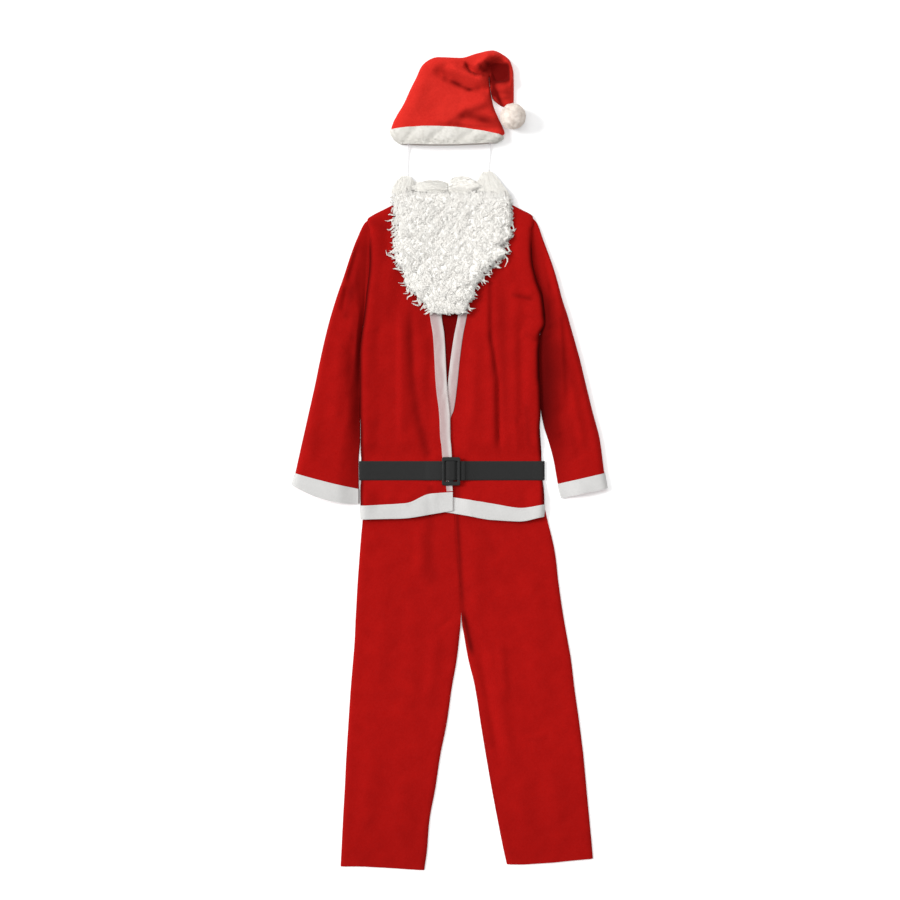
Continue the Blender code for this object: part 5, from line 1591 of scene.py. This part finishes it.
@dataclass(frozen=True)
class Pompom:
    """A ball of hair: a small core and tufts of tapered strands standing out all round."""

    centre: tuple[float, float, float] = (158.0, 854.0, 31.6)
    radius: float = 33.0
    core: float = 29.5
    strands: int = 2300
    tufts: int = 230
    to_tuft: float = 0.45
    thick: float = 0.8
    seed: int = 5

    def build(self, wardrobe: Wardrobe) -> None:
        """Strands start on the core in tufts and bend as they leave it."""
        chance = np.random.default_rng(self.seed)
        number = np.arange(self.strands) + 0.5
        polar = np.arccos(1.0 - 2.0 * number / self.strands)
        turn = math.pi * (1.0 + math.sqrt(5.0)) * number
        way = outward(polar, turn)
        tufts = unit(chance.normal(size=(self.tufts, 3)))
        nearest = tufts[np.argmax(way @ tufts.T, axis=1)]
        aim = way * (1.0 - self.to_tuft) + nearest * self.to_tuft
        aim = unit(aim + chance.normal(0.0, 0.07, way.shape))
        share = np.linspace(0.0, 1.0, 5)[None, :, None]
        root = self.core * 0.93
        reach = (self.radius - root) * chance.uniform(0.8, 1.05, (self.strands, 1, 1))
        bend = chance.normal(0.0, 0.35, (self.strands, 1, 3))
        path = way[:, None, :] * root + aim[:, None, :] * reach * share + bend * share**2 * reach
        path = path * np.minimum(1.0, self.radius / np.maximum(
            np.linalg.norm(path, axis=2, keepdims=True), 1e-6))
        radii = np.broadcast_to(self.thick * (1.0 - 0.8 * np.linspace(0.0, 1.0, 5) ** 2),
                                (self.strands, 5))
        path = path + np.array(self.centre)
        path[..., 2] = np.maximum(path[..., 2], self.thick + 0.1)
        wardrobe.puff.dress(carried_tubes("pompom", path, radii))
        wardrobe.puff.dress(self.ball(), stands_in=False)

    def ball(self) -> Piece:
        """The lumpy core: a ball of rings closed at both poles."""
        polar = np.linspace(0.0, math.pi, 30)[1:-1, None]
        around = 56
        turn = np.linspace(0.0, 2 * math.pi, around, endpoint=False)[None, :]
        way = outward(polar, turn)
        lumps = 0.05 * np.sin(7 * way[..., 0] + 3 * way[..., 1]) * np.sin(9 * way[..., 2] + 1)
        points = way * self.core * (1.0 + lumps)[..., None]
        size = points.shape[0] * points.shape[1]
        poles = np.array(((0.0, 0.0, self.core), (0.0, 0.0, -self.core)))
        number = numbers(*points.shape[:2])
        caps = [np.stack([np.full(around, size), number[0], np.roll(number[0], -1)], axis=-1),
                np.stack([np.full(around, size + 1), np.roll(number[-1], -1), number[-1]], axis=-1)]
        faces = [ring_faces(*points.shape[:2])[:, ::-1], *caps]
        whole = np.concatenate([points.reshape(-1, 3), poles]) + np.array(self.centre)
        return mesh_object("pompom_core", whole, faces)


# ==================================================================== the beard
BEARD_BACKING = 1.5
BEARD_LIFT = 12.6
HAIR_ROWS = entries(
    Row,
    (-143, 663.6, 146, 663.6), (-140, 640, 151, 640), (-136, 610, 154, 612), (-135, 580, 152, 582),
    (-139, 557, 156, 557), (-140, 532, 128, 534), (-134, 515, 148, 516), (-140, 497, 121, 499),
    (-119, 479, 102, 481), (-114, 456, 82, 456), (-108, 433, 65, 434), (-86, 417, 63, 417),
    (-78, 404, 58, 404), (-58, 390, 46, 391), (-51, 366, 41, 366),
)
BACKING_ROWS = entries(
    Row,
    (-100, 697, 76, 699, -3, -4, -3), (-120, 668, 122, 668), (-122, 580, 130, 580),
    (-118, 510, 108, 510), (-86, 450, 66, 450), (-44, 392, 34, 392),
)
TAB_RIGHT_ROWS = entries(
    Row,
    (-144.5, 664.5, -96, 664.5), (-142, 677, -90.5, 681), (-134, 693, -89, 695),
    (-121, 709, -98, 709),
)
TAB_LEFT_ROWS = entries(
    Row,
    (148, 664.5, 70, 664.5), (134, 684, 70, 686), (119, 705, 75, 706), (105, 721, 85, 721),
)
MOUSTACHE_RIGHT_ROWS = entries(
    Row,
    (-5, 689, -5, 666), (-20, 696, -20, 664.5), (-45, 697.5, -45, 664.5), (-70, 693, -70, 666),
    (-86, 686, -87, 673),
)
MOUSTACHE_LEFT_ROWS = entries(
    Row,
    (-3, 695, -3, 666), (12, 705, 12, 664.5), (34, 707, 34, 664.5), (52, 702, 52, 666),
    (66, 691, 67, 675),
)
ELASTIC_ROUTE = (
    (-106, 709.8, 2.4), (-105, 728, 1.7), (-104, 750, 1.7), (-103.5, 768, 2.6),
    (-103, 784, 5.2), (-102, 800, 7), (-98, 822, 7.2), (-84, 846, 6.6),
    (-58, 862, 5.2), (-22, 868, 4.6), (18, 868, 4.6), (56, 862, 5.2),
    (82, 847, 6.6), (96, 824, 7.2), (100, 802, 7), (101, 786, 5.2),
    (101, 770, 2.6), (100, 754, 1.7), (98, 736, 1.7), (96, 721.8, 2.4),
)


def under_beard(y: Grid) -> Grid:
    """How high the beard lies: on the jacket, and down to the floor at its tabs."""
    return 0.5 + (BEARD_LIFT - 0.5) * ramp(y, 706.0, 628.0)


@dataclass(frozen=True)
class Curls:
    """Fine curly locks: a few strands each, which wind together and meet at a tip.

    A lock's middle line lies along the hair's own surface on its heading and
    swings from side to side; its strands start apart and draw together.
    """

    strands: int = 8
    along: int = 7
    length: float = 30.0
    swing: float = 2.8
    winds: float = 1.25
    spread: float = 4.4
    thick: float = 0.72
    lift: float = 0.7

    def plan(self, root: Grid, heading: Grid, chance: np.random.Generator) -> tuple[Grid, Grid]:
        """The strands' places seen from above, and their lift off the surface.

        Args:
            root: Where each lock starts, x and y in millimetres.
            heading: Its direction in the plane, in radians.
            chance: The random source.

        Returns:
            Places (locks, strands, along, 2) and lifts (locks, strands, along).
        """
        count = len(root)
        t = np.linspace(0.0, 1.0, self.along)
        length = self.length * chance.uniform(0.6, 1.25, (count, 1))
        turn = 2 * math.pi * self.winds * chance.uniform(0.7, 1.35, (count, 1)) * t
        turn = turn + chance.uniform(0.0, 2 * math.pi, (count, 1))
        bend = heading[:, None] + chance.normal(0.0, 0.5, (count, 1)) * t
        ahead = np.stack([np.cos(bend), np.sin(bend)], axis=-1)
        side = np.stack([-np.sin(bend), np.cos(bend)], axis=-1)
        size = self.swing * chance.uniform(0.6, 1.5, (count, 1)) * np.minimum(1.0, 3.0 * t)
        middle = root[:, None, :] + ahead * (length * t)[..., None]
        middle = middle + side * (size * np.sin(turn))[..., None]
        apart = chance.uniform(-1.0, 1.0, (count, self.strands, 1)) * self.spread * (1.0 - 0.8 * t)
        place = middle[:, None] + side[:, None] * apart[..., None]
        place = place + chance.normal(0.0, 0.28, place.shape)
        arch = np.sin(math.pi * np.minimum(1.0, 1.15 * t))
        rise = self.lift * arch * chance.uniform(0.4, 1.3, (count, 1)) + 0.2 * size * np.cos(turn)
        lift = rise[:, None, :] + chance.uniform(-0.5, 0.5, (count, self.strands, 1))
        return place, lift

    def radii(self, count: int) -> Grid:
        """Each strand's radius along it, thin at both ends."""
        t = np.linspace(0.0, 1.0, self.along)
        return np.broadcast_to(self.thick * (0.75 + 0.25 * np.sin(math.pi * t) - 0.6 * t**4),
                               (count, self.along))


DOWN_SHARE = 0.7548776662
OVER_SHARE = 0.5698402910


class Beard:
    """Backing cloth, curly hair, a combed moustache, two ear tabs and the elastic."""

    HAIR_DEPTH = 20.0
    MOUSTACHE_DEPTH = 17.0
    MOUSTACHE_GROOVES = 9.0
    TAB_DEPTH = 9.0
    TAB_GROOVES = 7.0
    POINT_Y = 366.0
    TOP_Y = 668.0
    LOCKS = 452
    NARROWING = 0.86
    FRINGE_STEP = 3.0
    PAD_STRANDS = 480
    ELASTIC_RADII = (2.2, 1.1)
    SEED = 12

    def backing(self, wardrobe: Wardrobe) -> None:
        """The cloth that carries the hair."""
        panel = Panel(BACKING_ROWS)
        x, y, _ = panel.grid(panel.places(8.0), np.linspace(0.0, 1.0, 30))
        lower = stack(x, y, under_beard(y))
        upper = lower + np.array((0.0, 0.0, BEARD_BACKING))
        cloth = wardrobe.beard.dress(shell("beard_backing", lower, upper))
        cloth_area(upper)

    def relief(self, x: Grid, y: Grid, from_edge: Grid) -> Grid:
        """The hair's depth over its backing: full in the middle, lumpy by whole locks."""
        lumps = (unevenness(x, y, 62.0, 0.4) + 0.6 * unevenness(x, y, 33.0, 2.1)
                 + 0.45 * unevenness(x, y, 15.0, 3.3) + 0.3 * unevenness(x, y, 7.0, 4.2))
        full = (self.HAIR_DEPTH - 4.5) * (0.55 + 0.45 * ramp(y, 668.0, 638.0))
        return 1.0 + full * quarter_round(from_edge + 1.0, 40.0) * (1.0 + 0.13 * lumps)

    def hair(self, wardrobe: Wardrobe) -> None:
        """A lumpy under-layer, two layers of curls and a fringe of tufts along the outline."""
        panel = Panel(HAIR_ROWS)
        x, y, u = panel.grid(panel.places(3.2), np.linspace(0.03, 0.97, 84))
        width = (x[:, -1] - x[:, 0])[:, None] / 0.94
        from_edge = np.minimum(np.minimum(u, 1.0 - u) * width, 3.0 + (y - y.min()) * 0.8)
        base = under_beard(y) + BEARD_BACKING + SEAM
        depth = self.relief(x, y, from_edge)
        wardrobe.beard.dress(shell("beard_hair", stack(x, y, base), stack(x, y, base + depth),
                                   mapped=False))
        chance = np.random.default_rng(self.SEED)
        low, high = Curls(), Curls(length=25.0, swing=3.2, winds=1.5, spread=3.8, lift=1.3)
        for name, curls in (("beard_locks_a", low), ("beard_locks_b", high)):
            self.curls(name, curls, *self.roots(chance, self.LOCKS), chance, wardrobe)
        fringe = Curls(strands=7, along=5, length=13.0, swing=1.2, winds=0.6, spread=3.0, lift=0.8,
                       thick=0.8)
        self.curls("beard_fringe", fringe, *self.outline(chance), chance, wardrobe)
        along = np.linspace(-140.0, 146.0, 66)
        seam = np.stack([along, self.TOP_Y + 1.0 + chance.uniform(-2.0, 2.5, len(along))], axis=1)
        hanging = Curls(strands=6, along=5, length=14.0, swing=1.2, winds=0.5, spread=3.2, lift=1.0)
        self.curls("beard_top", hanging, seam, chance.normal(-math.pi / 2, 0.5, len(along)), chance,
                   wardrobe)

    def curls(self, name: str, curls: Curls, root: Grid, heading: Grid,
              chance: np.random.Generator, wardrobe: Wardrobe) -> None:
        """One layer of locks, laid on the hair's surface."""
        place, lift = curls.plan(root, heading, chance)
        x, y = place[..., 0], place[..., 1]
        lowest = self.POINT_Y - 3.0
        y = np.maximum(y, lowest - 0.3 * np.maximum(lowest - y, 0.0))
        z = under_beard(y) + BEARD_BACKING + self.height_at(x, y) + lift
        lines = stack(x, y, np.maximum(z, under_beard(y) + 0.8)).reshape(-1, curls.along, 3)
        made = carried_tubes(name, lines, curls.radii(len(lines)), flat=0.5)
        wardrobe.beard.dress(made, stands_in=False)

    def height_at(self, x: Grid, y: Grid) -> Grid:
        """The relief's depth at loose points, and next to nothing outside the outline."""
        left, right = self.edges(y)
        from_edge = np.minimum(np.minimum(x - left, right - x), 3.0 + (y - self.POINT_Y) * 0.8)
        return self.relief(x, y, np.maximum(from_edge, -1.0))

    def edges(self, y: Grid) -> tuple[Grid, Grid]:
        """The hair's left and right outline at y."""
        table = np.array(HAIR_ROWS)[::-1]
        return (np.interp(y, table[:, 1], table[:, 0]), np.interp(y, table[:, 1], table[:, 2]))

    def roots(self, chance: np.random.Generator, count: int) -> tuple[Grid, Grid]:
        """Where locks start, evenly strewn inside the outline, and where they head.

        Places step by one irrational share down the hair and by another across
        it, so that no rows show; they are fewer where the hair is narrower.
        """
        number = np.arange(count)
        down = (number * DOWN_SHARE + chance.uniform(0.0, 1.0)) % 1.0
        over = (number * OVER_SHARE + chance.uniform(0.0, 1.0)) % 1.0
        depth = 1.0 - np.sqrt(1.0 - self.NARROWING * down)
        whole = 1.0 - math.sqrt(1.0 - self.NARROWING)
        y = self.TOP_Y - (self.TOP_Y - 10.0 - self.POINT_Y) * depth / whole
        left, right = self.edges(y)
        x = left + 7.0 + (right - left - 14.0) * over
        fan = np.clip((x - 2.0) / 150.0, -1.0, 1.0)
        return np.stack([x, y], axis=1), -math.pi / 2 + fan * 0.8 + chance.normal(0.0, 0.6, count)

    def outline(self, chance: np.random.Generator) -> tuple[Grid, Grid]:
        """Places just inside the outline, down one side, round the point and up the other."""
        table = np.array(HAIR_ROWS)
        loop = np.concatenate([table[:, 0:2], table[::-1, 2:4]])
        knots = distances(loop)
        at = np.arange(2.0, knots[-1], self.FRINGE_STEP)
        spot = along_line(loop, knots, at)
        inward = unit(np.array((0.0, 545.0)) - spot)
        out = np.arctan2(-inward[:, 1], -inward[:, 0])
        down = np.full(len(at), -math.pi / 2)
        blend = 0.55 * np.exp(1j * out) + 0.45 * np.exp(1j * down)
        heading = np.angle(blend) + chance.normal(0.0, 0.45, len(at))
        return spot + inward * chance.uniform(3.0, 11.0, (len(at), 1)), heading

    def pad(self, name: str, rows: tuple[Row, ...], depth: float, grooves: float, hangs: bool,
            wardrobe: Wardrobe) -> None:
        """A combed pad: a rounded form with shallow grooves along its hair and strands on it.

        Args:
            name: The piece's name, which is its CAD node's too.
            rows: Its outline.
            depth: Its greatest depth.
            grooves: How many grooves lie across it.
            hangs: Whether its strands run from its last row back past its first.
            wardrobe: The finishes.
        """
        panel = Panel(rows)
        places = panel.places(1.9)
        x, y, u = panel.grid(places, np.linspace(0.0, 1.0, 32))
        v = np.linspace(0.0, 1.0, len(places))[:, None]
        body = np.sin(math.pi * np.clip(u, 0.03, 0.97 if hangs else 0.9)) ** 0.6 * (1.0 - 0.55 * v**2)
        comb = 0.3 * np.sin(grooves * math.pi * u + 2.0 * np.sin(3.0 * v))
        comb = comb + 0.2 * np.sin(1.9 * grooves * math.pi * u - 3.0 * v)
        base = under_beard(y) + BEARD_BACKING + SEAM
        upper = stack(x, y, base + 1.2 + (depth - 1.0) * body + comb * body)
        piece = wardrobe.lip.dress(shell(name, stack(x, y, base), upper, mapped=False))
        strands = self.combed(name + "_strands", upper[::-1] if hangs else upper)
        wardrobe.lip.dress(strands, stands_in=False)

    def combed(self, name: str, surface: Grid) -> Piece:
        """Long fine strands that lie along a surface's rows and fray past its edges."""
        count = self.PAD_STRANDS
        chance = np.random.default_rng(len(name) + int(abs(surface[0, 0, 0])))
        rows, columns = surface.shape[:2]
        start = chance.uniform(0.0, rows * 0.74, count)
        reach = rows * chance.uniform(0.16, 0.5, count)
        column = chance.uniform(0.0, columns - 1.5, count)
        drift = chance.normal(0.0, 2.4, count)
        share = np.linspace(0.0, 1.0, 7)
        wanted = start[:, None] + reach[:, None] * share
        row = np.minimum(wanted, rows - 1.01)
        col = np.clip(column[:, None] + drift[:, None] * share + 0.9 * np.sin(
            4.0 * share + column[:, None]), 0.0, columns - 1.01)
        line = read_grid(surface, row.ravel(), col.ravel()).reshape(count, 7, 3)
        middle = surface.reshape(-1, 3).mean(axis=0)
        away = unit((line[:, -1:] - middle) * (1.0, 1.0, 0.0))
        fray = chance.uniform(0.0, 3.2, (count, 1, 1)) * (share**1.5)[None, :, None]
        onward = unit((surface[-1] - surface[-4]).mean(axis=0) * (1.0, 1.0, 0.0))
        line = line + away * fray + onward * ((wanted - row) * 1.9)[..., None]
        arch = chance.uniform(0.2, 1.0, (count, 1)) * np.sin(math.pi * share)
        line[..., 2] += 0.2 + 1.1 * arch
        radii = 0.42 * (1.0 - 0.75 * (2 * share - 1) ** 4)[None, :] * np.ones((count, 1))
        return carried_tubes(name, line, radii)

    def elastic(self, wardrobe: Wardrobe) -> None:
        """The elastic from one ear tab, up into the hat and back to the other tab."""
        route = np.array(ELASTIC_ROUTE)
        knots = distances(route)
        at = np.linspace(0.0, knots[-1], 160)
        line = np.stack([smooth_line(knots, route[:, k], at) for k in range(3)], axis=1)
        tangent = unit(np.gradient(line, axis=0))
        aside = unit(np.cross(tangent, np.array((0.0, 0.0, 1.0))))
        up = np.cross(aside, tangent)
        turn = np.linspace(0.0, 2 * math.pi, 12, endpoint=False)
        ribs = 1.0 + 0.05 * np.sin(6.0 * turn)
        wide, high = self.ELASTIC_RADII
        ring = (np.cos(turn) * ribs * wide)[None, :, None] * aside[:, None, :]
        ring = ring + (np.sin(turn) * ribs * high)[None, :, None] * up[:, None, :]
        points = line[:, None, :] + ring
        made = wardrobe.elastic.dress(
            mesh_object("beard_elastic", points, rod_faces(*points.shape[:2])))

    def build(self, wardrobe: Wardrobe) -> None:
        """Builds every piece of the beard but the elastic, which is made first."""
        self.backing(wardrobe)
        self.hair(wardrobe)
        for name, rows in (("moustache_right", MOUSTACHE_RIGHT_ROWS),
                           ("moustache_left", MOUSTACHE_LEFT_ROWS)):
            self.pad(name, rows, self.MOUSTACHE_DEPTH, self.MOUSTACHE_GROOVES, False, wardrobe)
        for name, rows in (("ear_tab_right", TAB_RIGHT_ROWS), ("ear_tab_left", TAB_LEFT_ROWS)):
            self.pad(name, rows, self.TAB_DEPTH, self.TAB_GROOVES, True, wardrobe)


# =================================================================== the studio
@dataclass(frozen=True)
class Light:
    """One distant soft light: where it comes from, its spread and its strength."""

    name: str
    azimuth: float
    elevation: float
    spread: float
    strength: float


class Studio:
    """A pale floor, soft lights and a camera straight overhead."""

    LIGHTS = (
        Light("overhead", 90.0, 84.0, 70.0, 1.25),
        Light("from_left", 165.0, 36.0, 22.0, 2.5),
        Light("from_top", 95.0, 36.0, 40.0, 0.35),
    )
    SKY = 0.32
    CAMERA = (0.00125, 0.02375, 5.32)
    LENS_MM = 85.0
    FLOOR_HALF = 20.0
    FLOOR_Z = -0.0004

    def camera(self) -> None:
        """A long lens that looks straight down, with +Y at the top."""
        data = bpy.data.cameras.new("camera")
        data.lens, data.sensor_width = self.LENS_MM, 36.0
        data.clip_end = 50.0
        made = placed("camera", data)
        made.location = self.CAMERA
        bpy.context.scene.camera = made

    def floor(self) -> None:
        """A plain pale floor just below the suit, with a faint glow that softens shadows."""
        corners = [(x * self.FLOOR_HALF, y * self.FLOOR_HALF, self.FLOOR_Z)
                   for x, y in ((-1, -1), (1, -1), (1, 1), (-1, 1))]
        mesh = bpy.data.meshes.new("floor")
        mesh.from_pydata(corners, [], [(0, 1, 2, 3)])
        paint, sheet, shader = new_material("floor")
        sheet.fill(shader, {
            "Base Color": (0.94, 0.94, 0.94, 1.0), "Emission Color": (1.0, 1.0, 1.0, 1.0),
            "Emission Strength": 0.16, "Roughness": 0.9, "Specular IOR Level": 0.1})
        mesh.materials.append(paint)
        placed("floor", mesh)

    def lights(self) -> None:
        """Distant lights, each turned round the suit and tipped down at it, and an even sky."""
        for light in self.LIGHTS:
            data = bpy.data.lights.new(light.name, "SUN")
            data.angle, data.energy = math.radians(light.spread), light.strength
            tip, turn = math.radians(90.0 - light.elevation), math.radians(light.azimuth + 90.0)
            placed(light.name, data).rotation_euler = (tip, 0.0, turn)
        world = bpy.data.worlds.new("sky")
        world.use_nodes = True
        sky = world.node_tree.nodes["Background"]
        sky.inputs["Color"].default_value = (1.0, 1.0, 1.0, 1.0)
        sky.inputs["Strength"].default_value = self.SKY
        bpy.context.scene.world = world

    def build(self) -> None:
        """Sets up the floor and the lights, and a plain picture transform."""
        self.floor()
        self.lights()
        bpy.context.scene.view_settings.view_transform = "Standard"


def main() -> None:
    """Builds the studio's camera, the elastic, then the suit from hat to trousers."""
    logging.basicConfig(level=logging.INFO, format="%(name)s %(message)s")
    studio = Studio()
    studio.camera()
    wardrobe = Wardrobe()
    beard = Beard()
    beard.elastic(wardrobe)
    Hat().build(wardrobe)
    beard.build(wardrobe)
    Jacket().build(wardrobe)
    Belt().build(wardrobe)
    Buckle().build(wardrobe)
    Trousers().build(wardrobe)
    studio.build()


if __name__ == "__main__":
    main()
